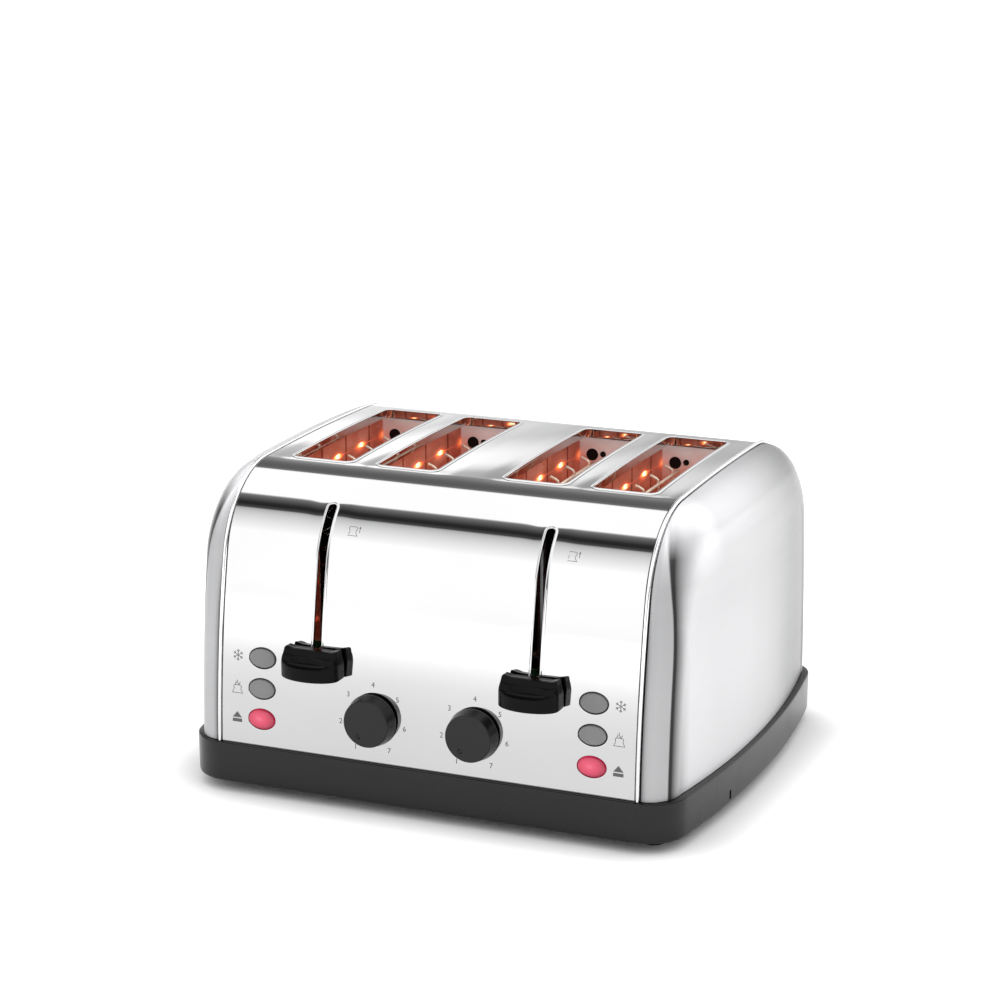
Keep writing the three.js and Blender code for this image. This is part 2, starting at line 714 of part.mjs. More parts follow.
// Guard at X, whose wires flare away from the slot's middle at the top. Flare is -1 or 1.
function guard(x, flare) {
  const half = guardWire / 2;
  const reach = plateInnerY - seatGap;
  const wireReach = slotLength / 2 - guardWire;
  const topZ = guardKneeZ + guardTopRise;
  const outline = [
    [x - half, guardFootZ], [x + half, guardFootZ], [x + half, guardKneeZ],
    [x + half + flare * guardFlare, topZ], [x - half + flare * guardFlare, topZ], [x - half, guardKneeZ],
  ].map(([px, pz]) => new THREE.Vector2(px, pz));
  const solids = [];
  for (let wire = 0; wire < guardWires; wire += 1) {
    const y = THREE.MathUtils.lerp(-wireReach, wireReach, wire / (guardWires - 1));
    solids.push(carriedAlongY(outline, y - half, y + half));
  }
  for (const z of [guardFootZ + guardRailInset, guardKneeZ - guardRailInset]) {
    const railHalf = guardRail / 2;
    solids.push(block([x - railHalf, x + railHalf], [-reach, reach], [z - railHalf, z + railHalf]));
  }
  return joined(solids);
}

// Crumb tray: a shallow pan behind a face plate outside the base.
function crumbTray() {
  const trayStartY = -plateInnerY + trayStartGap;
  const pan = block(trayX, [trayStartY, trayFaceY - trayFaceSheet / 2], trayZ);
  const inside = block(
    [trayX[0] + traySheet, trayX[1] - traySheet],
    [trayStartY + traySheet, baseHalfDepth - baseWall],
    [trayZ[0] + traySheet, trayZ[1] + cutOverrun]);
  const faceFootZ = floorTop - seatGap;
  const face = block(
    [trayX[0] - trayFaceMargin, trayX[1] + trayFaceMargin],
    [trayFaceY - trayFaceSheet, trayFaceY],
    [faceFootZ, faceFootZ + trayFaceHeight]);
  const grip = block(
    [leverX - trayGripWidth / 2, leverX + trayGripWidth / 2],
    [trayFaceY - trayFaceSheet, trayFaceY + trayGripReach],
    [faceFootZ + trayFaceHeight - trayFaceSheet, faceFootZ + trayFaceHeight]);
  return pan.subtract(inside).add(face).add(grip);
}

// Sheet bracket of the carriage: crossbar, riser, two rod lugs, armature tab and the lever's stem.
function carriageBracket() {
  const plateY = [-bracketFrontY, -bracketY];
  const lugX = [rodX - lugWidth / 2, rodX + lugWidth / 2];
  const lugY = [-bracketY - lugDepth, -bracketY];
  const tabX = [leverX - magnetWidth / 2, leverX - magnetWidth / 2 + tabWidth];
  const solids = [
    block([slotCentres[0] - crossbarReach, slotCentres[1] + crossbarReach], plateY,
      [carriageZ, carriageZ + crossbarHeight]),
    block([lugX[0], lugX[0] + riserWidth], plateY, [carriageZ, riserTopZ]),
    block(lugX, lugY, [carriageZ, carriageZ + lugSheet]),
    block(lugX, lugY, [riserTopZ - lugSheet, riserTopZ]),
    block(tabX, [-bracketY - tabDepth, -bracketY], [carriageZ + lugSheet, carriageZ + 2 * lugSheet]),
    block(
      [leverX - stemThickness / 2, leverX + stemThickness / 2],
      [-stemEndY, -bracketY],
      [stemLowZ, stemTopZ]),
  ];
  const bore = uprightBar(
    rodX, -rodY, rodRadius + runningGap, carriageZ - cutOverrun, riserTopZ + cutOverrun, smallRoundSides);
  return joined(solids).subtract(bore);
}

// Rack under one slice: a spine with cross bars, whose ends pass through both plates.
function breadRack(x) {
  const spine = [x - rackSpine / 2, x + rackSpine / 2];
  const frontEnd = -bracketY + seatGap;
  const rearEnd = plateOuterY + rackEndReach;
  const solids = [block(spine, [frontEnd, rearEnd], [carriageZ, carriageZ + rackArmHeight])];
  for (let bar = 0; bar < rackBars; bar += 1) {
    const y = THREE.MathUtils.lerp(-slotLength / 2, slotLength / 2, (bar + 0.5) / rackBars);
    solids.push(block([x - rackHalfWidth, x + rackHalfWidth], [y - rackBarWidth / 2, y + rackBarWidth / 2],
      [carriageZ + rackArmHeight - rackBarDrop - rackBarThickness, carriageZ + rackArmHeight - rackBarDrop]));
  }
  return joined(solids);
}

// Lever knob: D-shaped in plan, stepped from the side, with a thumb dish in front of the grip ridges.
function leverKnob() {
  const straightY = -leverBackY - leverStraightDepth;
  const plan = [new THREE.Vector2(leverX - leverHalfWidth, -leverBackY)];
  for (let step = 0; step <= leverNoseSteps; step += 1) {
    const angle = Math.PI * step / leverNoseSteps;
    plan.push(new THREE.Vector2(
      leverX - leverHalfWidth * Math.cos(angle),
      straightY - (leverDepth - leverStraightDepth) * Math.sin(angle)));
  }
  plan.push(new THREE.Vector2(leverX + leverHalfWidth, -leverBackY));
  const side = leverSideShares.map(([depthShare, heightShare]) => new THREE.Vector2(
    -leverBackY - depthShare * leverDepth, leverFootZ + heightShare * leverRidgeHeight));
  const body = carriedAlongZ(plan, leverFootZ, leverFootZ + leverRidgeHeight)
    .intersect(carriedAlongX(
      side, leverX - leverHalfWidth - cutOverrun, leverX + leverHalfWidth + cutOverrun));
  const dish = new THREE.SphereGeometry(1, roundSides, smallRoundSides)
    .scale(leverHalfWidth * leverDishShares.width, leverDepth * leverDishShares.depth,
      leverLipHeight * leverDishShares.height)
    .translate(leverX, -leverNoseY + leverDepth * leverDishShares.fromNose, leverFootZ + leverLipHeight);
  const socket = block(
    [leverX - stemThickness / 2 - seatGap, leverX + stemThickness / 2 + seatGap],
    [-stemEndY - seatGap, -leverBackY + cutOverrun],
    [stemLowZ - seatGap, stemTopZ + seatGap]);
  return body.subtract(solidOf(dish)).subtract(socket);
}

const guideRod = () => uprightBar(
  rodX, -rodY, rodRadius, floorTop + seatGap, topLugZ + topLugSheet + seatGap, smallRoundSides);

// Return spring: one helix between the tab of the carriage and the top lug.
class Helix extends THREE.Curve {
  constructor(centreX, centreY, foot, top) {
    super();
    Object.assign(this, { centreX, centreY, foot, top });
  }

  getPoint(share) {
    const angle = 2 * Math.PI * springTurns * share;
    return new THREE.Vector3(
      this.centreX + (springRadius - springWire) * Math.cos(angle),
      this.centreY + (springRadius - springWire) * Math.sin(angle),
      THREE.MathUtils.lerp(this.foot, this.top, share));
  }
}

function returnSpring() {
  const foot = carriageZ + 2 * lugSheet + seatGap + springWire;
  const path = new Helix(springX, -rodY, foot, topLugZ - seatGap - springWire);
  const corners = [[-1, -1], [1, -1], [1, 1], [-1, 1]];
  const section = new THREE.Shape(corners.map(([x, y]) => new THREE.Vector2(x * springWire, y * springWire)));
  return closedBody(new THREE.ExtrudeGeometry(section, { steps: springTurns * 8, extrudePath: path }));
}

// Latch magnet: a foot on the base floor, a core and its coil, just below the carriage's tab.
function latchMagnet() {
  const middleY = -bracketY - tabDepth / 2;
  const poleZ = carriageZ + lugSheet - seatGap;
  const span = (centre, size) => [centre - size / 2, centre + size / 2];
  const footZ = floorTop + seatGap;
  const coilTop = poleZ - magnetFootSheet;
  const coilFoot = coilTop - (poleZ - footZ) * magnetCoilShare;
  return joined([
    block(span(leverX, magnetFootWidth), span(middleY, magnetDepth), [footZ, footZ + magnetFootSheet]),
    block(span(leverX, magnetWidth - 2 * magnetCoilExtra), span(middleY, magnetDepth - 2 * magnetCoilExtra),
      [footZ, poleZ]),
    block(span(leverX, magnetWidth), span(middleY, magnetDepth), [coilFoot, coilTop]),
  ]);
}

// Control board on the wings of the front plate, with a switch behind each button and two relays.
function controlBoard() {
  const boardZ = [wingFootZ, wingTopZ];
  let board = block([chassisHalfGap, chassisOuterX], [-boardFrontY, -boardY], boardZ);
  board = board.subtract(block(
    [leverX - boardNotchWidth / 2, leverX + boardNotchWidth / 2],
    [-boardFrontY - cutOverrun, -boardY + cutOverrun],
    [boardZ[1] - boardNotchDepth, boardZ[1] + cutOverrun]));
  for (const z of buttonZs) {
    board = board.add(block(
      [buttonOffset - switchSize / 2, buttonOffset + switchSize / 2],
      [-boardFrontY - switchHeight, -boardY],
      [z - switchSize / 2, z + switchSize / 2]));
    board = board.subtract(levelBar(
      buttonOffset, z, buttonStemRadius + seatGap,
      -boardFrontY - switchHeight - cutOverrun, -boardY + cutOverrun, smallRoundSides));
  }
  for (const row of [0, 1]) {
    const z = boardZ[0] + relayRise + row * relayPitch;
    board = board.add(block(
      [leverX - relayWidth / 2, leverX + relayWidth / 2], [-boardFrontY - relayDepth, -boardY],
      [z - relayHeight / 2, z + relayHeight / 2]));
  }
  return board;
}

// Dial parts about their shaft, which lies along Y. The front of each is at the smaller Y.
const dialBackY = Math.max(panelDepthAt(dialZ - dialRadius), panelDepthAt(dialZ + dialRadius)) + seatGap;
const dialFaceY = dialBackY + dialDepth;

function dialPot(x) {
  const back = -boardFrontY - seatGap;
  const front = back - potDepth;
  const bore = shaftRadius + runningGap;
  const ring = [[bore, front], [potRadius, front], [potRadius, back], [bore, back], [bore, front]];
  return turnedAlongY(x, dialZ, ring, roundSides);
}

function dialShaft(x) {
  const innerEnd = -boardFrontY - seatGap - potDepth + potShaftBite;
  return levelBar(x, dialZ, shaftRadius, -dialBackY - shaftBite + seatGap, innerEnd, smallRoundSides);
}

function dialKnob(x) {
  const bore = shaftRadius + seatGap;
  const profile = [[0, -dialFaceY]];
  for (const share of [0, 0.5, 1]) {
    const angle = share * Math.PI / 2;
    profile.push([
      dialFaceRadius - dialEdgeRadius * (1 - Math.sin(angle)),
      -dialFaceY + dialEdgeRadius * (1 - Math.cos(angle))]);
  }
  profile.push(
    [dialRadius, -dialBackY], [bore, -dialBackY],
    [bore, -dialBackY - shaftBite], [0, -dialBackY - shaftBite]);
  const knob = turnedAlongY(x, dialZ, profile, 2 * roundSides);
  const dimple = new THREE.SphereGeometry(dialDimpleRadius, smallRoundSides, smallRoundSides / 2).translate(
    x + dialDimpleOffset * Math.cos(dialFirstMarkAngle),
    -dialFaceY - dialDimpleRadius / 3,
    dialZ + dialDimpleOffset * Math.sin(dialFirstMarkAngle));
  return knob.subtract(solidOf(dimple));
}

// Button: an oval domed cap, a flange behind the panel and a stem that reaches into its switch.
function pushButton(z) {
  const faceY = panelDepthAt(z) + buttonProud;
  const halfWidth = buttonHoleHalfWidth - runningGap;
  const halfHeight = buttonHoleHalfHeight - runningGap;
  const flangeReach = halfHeight + buttonFlangeWidth;
  const panelDepth = Math.min(panelDepthAt(z + flangeReach), panelDepthAt(z - flangeReach));
  const flangeY = panelDepth - panelSheet - buttonFlangeGap;
  const backY = flangeY - buttonFlangeThickness;
  const cap = buttonDomeShares.map(([radius, depth]) => [radius, -faceY + depth * buttonDome]);
  cap.push([1, -backY], [0, -backY]);
  const flange = [[0, -flangeY], [1, -flangeY], [1, -backY], [0, -backY]];
  const stemEnd = -boardFrontY - switchHeight + switchStemBite;
  return joined([
    turnedAlongY(buttonOffset, z, cap, roundSides, halfWidth, halfHeight),
    turnedAlongY(
      buttonOffset, z, flange, roundSides, halfWidth + buttonFlangeWidth, halfHeight + buttonFlangeWidth),
    levelBar(
      buttonOffset, z, buttonStemRadius, -backY - buttonFlangeThickness / 2, stemEnd, smallRoundSides),
  ]);
}

// Bush in the back wall of the base, open for a cord.
function cordGland() {
  const outerFace = glandFaceY;
  const outerStop = baseHalfDepth + seatGap;
  const innerStop = baseHalfDepth - baseWall - seatGap;
  return turnedAlongY(0, glandZ, [
    [glandBoreRadius, innerStop - glandFlangeSheet], [glandFlangeRadius, innerStop - glandFlangeSheet],
    [glandFlangeRadius, innerStop], [glandBarrelRadius, innerStop], [glandBarrelRadius, outerStop],
    [glandFlangeRadius, outerStop], [glandFlangeRadius, outerFace], [glandBoreRadius, outerFace],
    [glandBoreRadius, innerStop - glandFlangeSheet],
  ], roundSides);
}

function terminalBlock() {
  const middleY = baseHalfDepth - terminalSetback - terminalDepth / 2;
  const topZ = floorTop + seatGap + terminalHeight;
  let body = block([-terminalWidth / 2, terminalWidth / 2],
    [middleY - terminalDepth / 2, middleY + terminalDepth / 2], [floorTop + seatGap, topZ]);
  const pitch = terminalWidth / terminalWells;
  for (let well = 0; well < terminalWells; well += 1) {
    const x = (well + 0.5) * pitch - terminalWidth / 2;
    const half = pitch * terminalWellShare / 2;
    body = body.subtract(block([x - half, x + half], [middleY - half, middleY + half],
      [topZ - terminalHeight / 2, topZ + cutOverrun]));
  }
  return body;
}

const toaster = new THREE.Group();
toaster.position.set(0, objectShiftY, 0);

function add(name, shape, { color, roughness, metalness }) {
  const geometry = shape.isBufferGeometry ? shape : geometryOf(shape);
  const mesh = new THREE.Mesh(geometry, new THREE.MeshStandardMaterial({ color, roughness, metalness }));
  mesh.name = name;
  toaster.add(mesh);
  return mesh;
}

// A piece made for the right half, mirrored where it goes to the left.
function addToHalf(half, name, shape, surface) {
  const geometry = shape.isBufferGeometry ? shape.clone() : geometryOf(shape);
  add(`${half.name}_${name}`, closedBody(geometry.scale(half.side, 1, 1)), surface);
}

add('wrap_panel', wrapPanel(), polishedSteel);
add('base', baseShell(), blackPlastic);
add('cord_gland', cordGland(), blackRubber);
add('terminal_block', terminalBlock(), paleResin);

for (const [endName, endSide] of [['front', -1], ['rear', 1]]) {
  for (const [sideName, side] of [['left', -1], ['right', 1]]) {
    const pad = add(`foot_${endName}_${sideName}`, foot(), blackRubber);
    pad.position.set(side * (baseHalfWidth - footSideInset), endSide * (baseHalfDepth - footEndInset), 0);
  }
}

for (const half of [{ name: 'left', side: -1 }, { name: 'right', side: 1 }]) {
  addToHalf(half, 'end_cover', endCover(), brushedSteel);
  addToHalf(half, 'front_plate', frontPlate(), galvanisedSteel);
  addToHalf(half, 'rear_plate', rearPlate(), galvanisedSteel);
  ['inner', 'middle', 'outer'].forEach((place, slot) => {
    addToHalf(half, `heater_${place}`, heater(heaterXs[slot]), mica);
  });
  ['inner', 'outer'].forEach((place, slot) => {
    const wireOffset = slotWidth / 2 - guardInset;
    addToHalf(half, `guard_${place}_1`, guard(slotCentres[slot] - wireOffset, -1), wireSteel);
    addToHalf(half, `guard_${place}_2`, guard(slotCentres[slot] + wireOffset, 1), wireSteel);
    addToHalf(half, `bread_rack_${place}`, breadRack(slotCentres[slot]), galvanisedSteel);
  });
  addToHalf(half, 'crumb_tray', crumbTray(), galvanisedSteel);
  addToHalf(half, 'guide_rod', guideRod(), galvanisedSteel);
  addToHalf(half, 'return_spring', returnSpring(), galvanisedSteel);
  addToHalf(half, 'latch_magnet', latchMagnet(), copperCoil);
  addToHalf(half, 'carriage_bracket', carriageBracket(), galvanisedSteel);
  addToHalf(half, 'lever_knob', leverKnob(), blackPlastic);
  addToHalf(half, 'control_board', controlBoard(), boardGreen);
  add(`${half.name}_dial_pot`, dialPot(half.side * dialOffset), blackPlastic);
  add(`${half.name}_dial_shaft`, dialShaft(half.side * dialOffset), galvanisedSteel);
  add(`${half.name}_dial_knob`, dialKnob(half.side * dialOffset), blackPlastic);
  ['defrost', 'reheat', 'cancel'].forEach((task, row) => {
    const surface = task === 'cancel' ? litButton : greyButton;
    addToHalf(half, `${task}_button`, pushButton(buttonZs[row]), surface);
  });
}

export default toaster;
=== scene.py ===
"""Looks of a four-slot electric toaster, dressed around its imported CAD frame.

Each piece is a surface worked out in millimetres about the middle of the shell, with the front towards -Y.
The bench moves it into the frame of the CAD part, in metres.
"""
import logging
import math
from dataclasses import dataclass, field
from enum import Enum
from functools import cached_property
from typing import Sequence

import bpy
import numpy as np
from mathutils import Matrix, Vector
from mathutils.geometry import delaunay_2d_cdt


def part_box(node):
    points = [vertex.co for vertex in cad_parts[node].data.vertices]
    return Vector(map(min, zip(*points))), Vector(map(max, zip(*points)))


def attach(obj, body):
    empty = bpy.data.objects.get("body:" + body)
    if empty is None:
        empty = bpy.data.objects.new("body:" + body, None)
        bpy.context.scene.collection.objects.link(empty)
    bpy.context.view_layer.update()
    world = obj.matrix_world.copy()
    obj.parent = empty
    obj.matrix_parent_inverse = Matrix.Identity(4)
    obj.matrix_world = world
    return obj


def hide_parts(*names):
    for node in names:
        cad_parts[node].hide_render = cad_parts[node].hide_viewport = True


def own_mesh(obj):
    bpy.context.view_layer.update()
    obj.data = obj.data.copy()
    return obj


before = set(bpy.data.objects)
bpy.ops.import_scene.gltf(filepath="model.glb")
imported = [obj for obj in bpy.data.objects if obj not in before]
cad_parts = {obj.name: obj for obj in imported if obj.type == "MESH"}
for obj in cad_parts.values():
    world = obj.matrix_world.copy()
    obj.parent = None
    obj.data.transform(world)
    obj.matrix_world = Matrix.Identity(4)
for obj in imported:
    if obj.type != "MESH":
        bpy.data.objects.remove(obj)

Array = np.ndarray
Socket = bpy.types.NodeSocket
Material = bpy.types.Material
MM = 0.001
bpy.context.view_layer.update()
log = logging.getLogger("toaster")


class Side(Enum):
    """The two halves of the toaster, with the sign of their X."""

    LEFT = -1
    RIGHT = 1

    @property
    def word(self) -> str:
        """The half's name in the CAD nodes."""
        return self.name.lower()


class Slot(Enum):
    """Material slots of the record."""

    PANEL = "polished_steel"
    COVER = "brushed_steel"
    BASE = "base_plastic"
    LEVER = "lever_plastic"
    DIAL = "dial_plastic"
    FOOT = "foot_rubber"
    BUTTON = "button_grey"
    LIT = "button_lit"
    ZINC = "plated_steel"
    MICA = "heater_mica"
    WIRE = "guard_wire"


# ---------------------------------------------------------------- surfaces


def smooth(value: Array, low: float, high: float) -> Array:
    """Runs from 0 at low to 1 at high along the curve 3t^2 - 2t^3."""
    share = np.clip((np.asarray(value, float) - low) / (high - low), 0, 1)
    return share * share * (3 - 2 * share)


def unit(vectors: Array) -> Array:
    """Vectors divided by their length."""
    return vectors / np.maximum(np.linalg.norm(vectors, axis=-1, keepdims=True), 1e-12)


def full_turn(steps: int) -> Array:
    """Even angles once round, without the one that closes the turn."""
    return np.linspace(0, 2 * np.pi, steps, endpoint=False)


def circle(angle: Array | float) -> Array:
    """Points (cos, sin) of the unit circle."""
    return np.stack([np.cos(angle), np.sin(angle)], axis=-1)


def at_height(flat: Array, z: Array | float) -> Array:
    """Flat points raised to a height."""
    return np.concatenate([flat, np.broadcast_to(z, flat.shape[:-1])[..., None]], axis=-1)


@dataclass
class Surface:
    """Faces over points in millimetres, in flat lists, with the direction that each face corner faces where known."""

    points: Array
    corners: Array
    sizes: Array
    facing: Array

    @classmethod
    def of_faces(cls, points: Array, faces: Array, facing: Array | None = None) -> "Surface":
        """A surface from faces that all have the same number of corners.

        Args:
            points: corner places, (n, 3).
            faces: indices of points, (faces, corners).
            facing: directions of the points, or None to have them worked out later.

        Returns:
            The surface.
        """
        corners = np.asarray(faces).reshape(-1)
        known = np.full((len(corners), 3), np.nan) if facing is None else facing.reshape(-1, 3)[corners]
        return cls(np.asarray(points, float), corners, np.full(len(faces), np.shape(faces)[1]), known)

    @classmethod
    def of_grid(cls, points: Array, facing: Array | None = None, round_u: bool = False,
                round_v: bool = False) -> "Surface":
        """Four-cornered faces over a grid of points (u, v), turned so that u across v points outwards.

        Args:
            points: places, (u, v, 3).
            facing: directions of the same shape, or None.
            round_u: whether the last row joins the first.
            round_v: whether the last column joins the first.

        Returns:
            The surface.
        """
        number = np.arange(points.shape[0] * points.shape[1]).reshape(points.shape[:2])
        number = np.vstack([number, number[:1]]) if round_u else number
        number = np.hstack([number, number[:, :1]]) if round_v else number
        faces = np.stack([number[:-1, :-1], number[1:, :-1], number[1:, 1:], number[:-1, 1:]], axis=-1)
        return cls.of_faces(points.reshape(-1, 3), faces.reshape(-1, 4), facing)

    @classmethod
    def of_ring(cls, points: Array) -> "Surface":
        """One flat face inside a closed ring of points."""
        return cls.of_faces(points, np.arange(len(points))[None, :])

    @classmethod
    def of_bar(cls, rings: Array) -> "Surface":
        """Closed rings of points (u, v) joined along u, with a flat face at both ends."""
        return cls.joined([cls.of_grid(rings, round_v=True), cls.of_ring(rings[0]), cls.of_ring(rings[-1][::-1])])

    @classmethod
    def joined(cls, parts: Sequence["Surface"]) -> "Surface":
        """Several surfaces as one, without merging their points."""
        offsets = np.cumsum([0] + [len(part.points) for part in parts[:-1]])
        return cls(np.concatenate([part.points for part in parts]),
                   np.concatenate([part.corners + offset for part, offset in zip(parts, offsets)]),
                   np.concatenate([part.sizes for part in parts]),
                   np.concatenate([part.facing for part in parts]))

    def layout(self) -> tuple[Array, Array, Array]:
        """First corner of each face, and for each corner its face and its place in the face."""
        starts = np.cumsum(self.sizes) - self.sizes
        owner = np.repeat(np.arange(len(self.sizes)), self.sizes)
        return starts, owner, np.arange(len(self.corners)) - starts[owner]

    def turned_order(self) -> Array:
        """Order of the corners that turns every face round."""
        starts, owner, place = self.layout()
        return starts[owner] + self.sizes[owner] - 1 - place

    def flipped(self) -> "Surface":
        """The same surface facing the other way."""
        order = self.turned_order()
        return Surface(self.points, self.corners[order], self.sizes, -self.facing[order])

    def mirrored(self) -> "Surface":
        """The surface mirrored in X, with its faces still outwards."""
        order, mirror = self.turned_order(), np.array([-1.0, 1.0, 1.0])
        return Surface(self.points * mirror, self.corners[order], self.sizes, self.facing[order] * mirror)

    def on(self, side: Side) -> "Surface":
        """The surface of the right half, mirrored where it goes to the left."""
        return self if side is Side.RIGHT else self.mirrored()

    def moved(self, x: float = 0.0, y: float = 0.0, z: float = 0.0) -> "Surface":
        """The surface shifted."""
        return Surface(self.points + np.array([x, y, z]), self.corners, self.sizes, self.facing)

    def welded(self, tolerance: float = 0.004) -> "Surface":
        """Merges points that share a cell in one of four grids, and drops the faces that this empties.

        The grids lie a quarter of a cell apart, so that no pair of near points is cut by all four.
        """
        places, index = self.points, np.arange(len(self.points))
        for quarter in range(4):
            keys = np.floor(places / tolerance + quarter / 4).astype(np.int64)
            _, first, group = np.unique(keys, axis=0, return_index=True, return_inverse=True)
            places, index = places[first], group.reshape(-1)[index]
        corners = index[self.corners]
        starts, owner, place = self.layout()
        before = np.where(place == 0, starts[owner] + self.sizes[owner] - 1, np.arange(len(corners)) - 1)
        kept = corners != corners[before]
        sizes = np.bincount(owner[kept], minlength=len(self.sizes))
        kept &= (sizes >= 3)[owner]
        return Surface(places, corners[kept], sizes[sizes >= 3], self.facing[kept])

    def volume(self) -> float:
        """Volume inside a closed surface: the sum of the tetrahedra between its faces and its middle."""
        starts, owner, place = self.layout()
        places = self.points - self.points.mean(axis=0)
        later = np.flatnonzero((place >= 1) & (place < self.sizes[owner] - 1))
        first = places[self.corners[starts[owner[later]]]]
        second, third = places[self.corners[later]], places[self.corners[later + 1]]
        return float(np.einsum("ij,ij->i", first, np.cross(second, third)).sum() / 6)


def grid_facing(points: Array, round_u: bool = False) -> Array:
    """Directions of a smooth grid: the cross product of its slopes along u and along v."""
    if round_u:
        along_u = np.roll(points, -1, axis=0) - np.roll(points, 1, axis=0)
    else:
        along_u = np.gradient(points, axis=0)
    return unit(np.cross(along_u, np.gradient(points, axis=1)))


def turned(profile: Array, steps: int) -> Surface:
    """Profile of (radius, height) carried round the Z axis: (r cos t, r sin t, h).

    Args:
        profile: pairs of radius and height, (n, 2).
        steps: steps round the axis.

    Returns:
        The turned surface.
    """
    profile = np.asarray(profile, float)
    flat = circle(full_turn(steps))[:, None] * profile[:, :1]
    return Surface.of_grid(at_height(flat, profile[:, 1]), round_u=True)


def laid_along_y(shape: Surface) -> Surface:
    """A piece made along Z, laid so that its +Z points to the back (+Y) and its +Y to the top (+Z)."""
    x, y, z = shape.points.T
    order = shape.turned_order()
    facing = shape.facing[order][:, [0, 2, 1]]
    return Surface(np.stack([x, z, y], axis=-1), shape.corners[order], shape.sizes, facing)


def tube(path: Array, radius: float, across: Array, steps: int = 10) -> Surface:
    """Round wire: a circle carried along a path, closed at both ends.

    Args:
        path: middle of the wire, (n, 3).
        radius: radius of the wire.
        across: a direction square to the path, (3,) or (n, 3).
        steps: steps round the wire.

    Returns:
        The closed surface.
    """
    along = unit(np.gradient(path, axis=0))
    first = unit(np.broadcast_to(across, path.shape) - along * np.sum(along * across, axis=-1, keepdims=True))
    second = np.cross(along, first)
    turn = full_turn(steps)[None, :, None]
    rings = path[:, None] + radius * (np.cos(turn) * first[:, None] + np.sin(turn) * second[:, None])
    return Surface.of_bar(rings).flipped()


def bent_path(corners: Array, radius: float, steps: int = 5) -> Array:
    """A path through corners, each rounded by the curve (1-t)^2 a + 2t(1-t) b + t^2 c near the corner b."""
    corners = np.asarray(corners, float)
    reach_in = unit(corners[:-2] - corners[1:-1]) * radius + corners[1:-1]
    reach_out = unit(corners[2:] - corners[1:-1]) * radius + corners[1:-1]
    share = np.linspace(0, 1, steps)[None, :, None]
    curves = ((1 - share) ** 2 * reach_in[:, None] + 2 * share * (1 - share) * corners[1:-1, None]
              + share ** 2 * reach_out[:, None])
    return np.concatenate([corners[:1], curves.reshape(-1, 3), corners[-1:]])


def slab(low: Sequence[float], high: Sequence[float]) -> Surface:
    """A block between two corners."""
    (x0, y0, z0), (x1, y1, z1) = low, high
    points = np.array([[x, y, z] for z in (z0, z1) for y in (y0, y1) for x in (x0, x1)], float)
    faces = np.array([[0, 2, 3, 1], [4, 5, 7, 6], [0, 1, 5, 4], [2, 6, 7, 3], [0, 4, 6, 2], [1, 3, 7, 5]])
    return Surface.of_faces(points, faces)


# ---------------------------------------------------------------- the arch of the shell


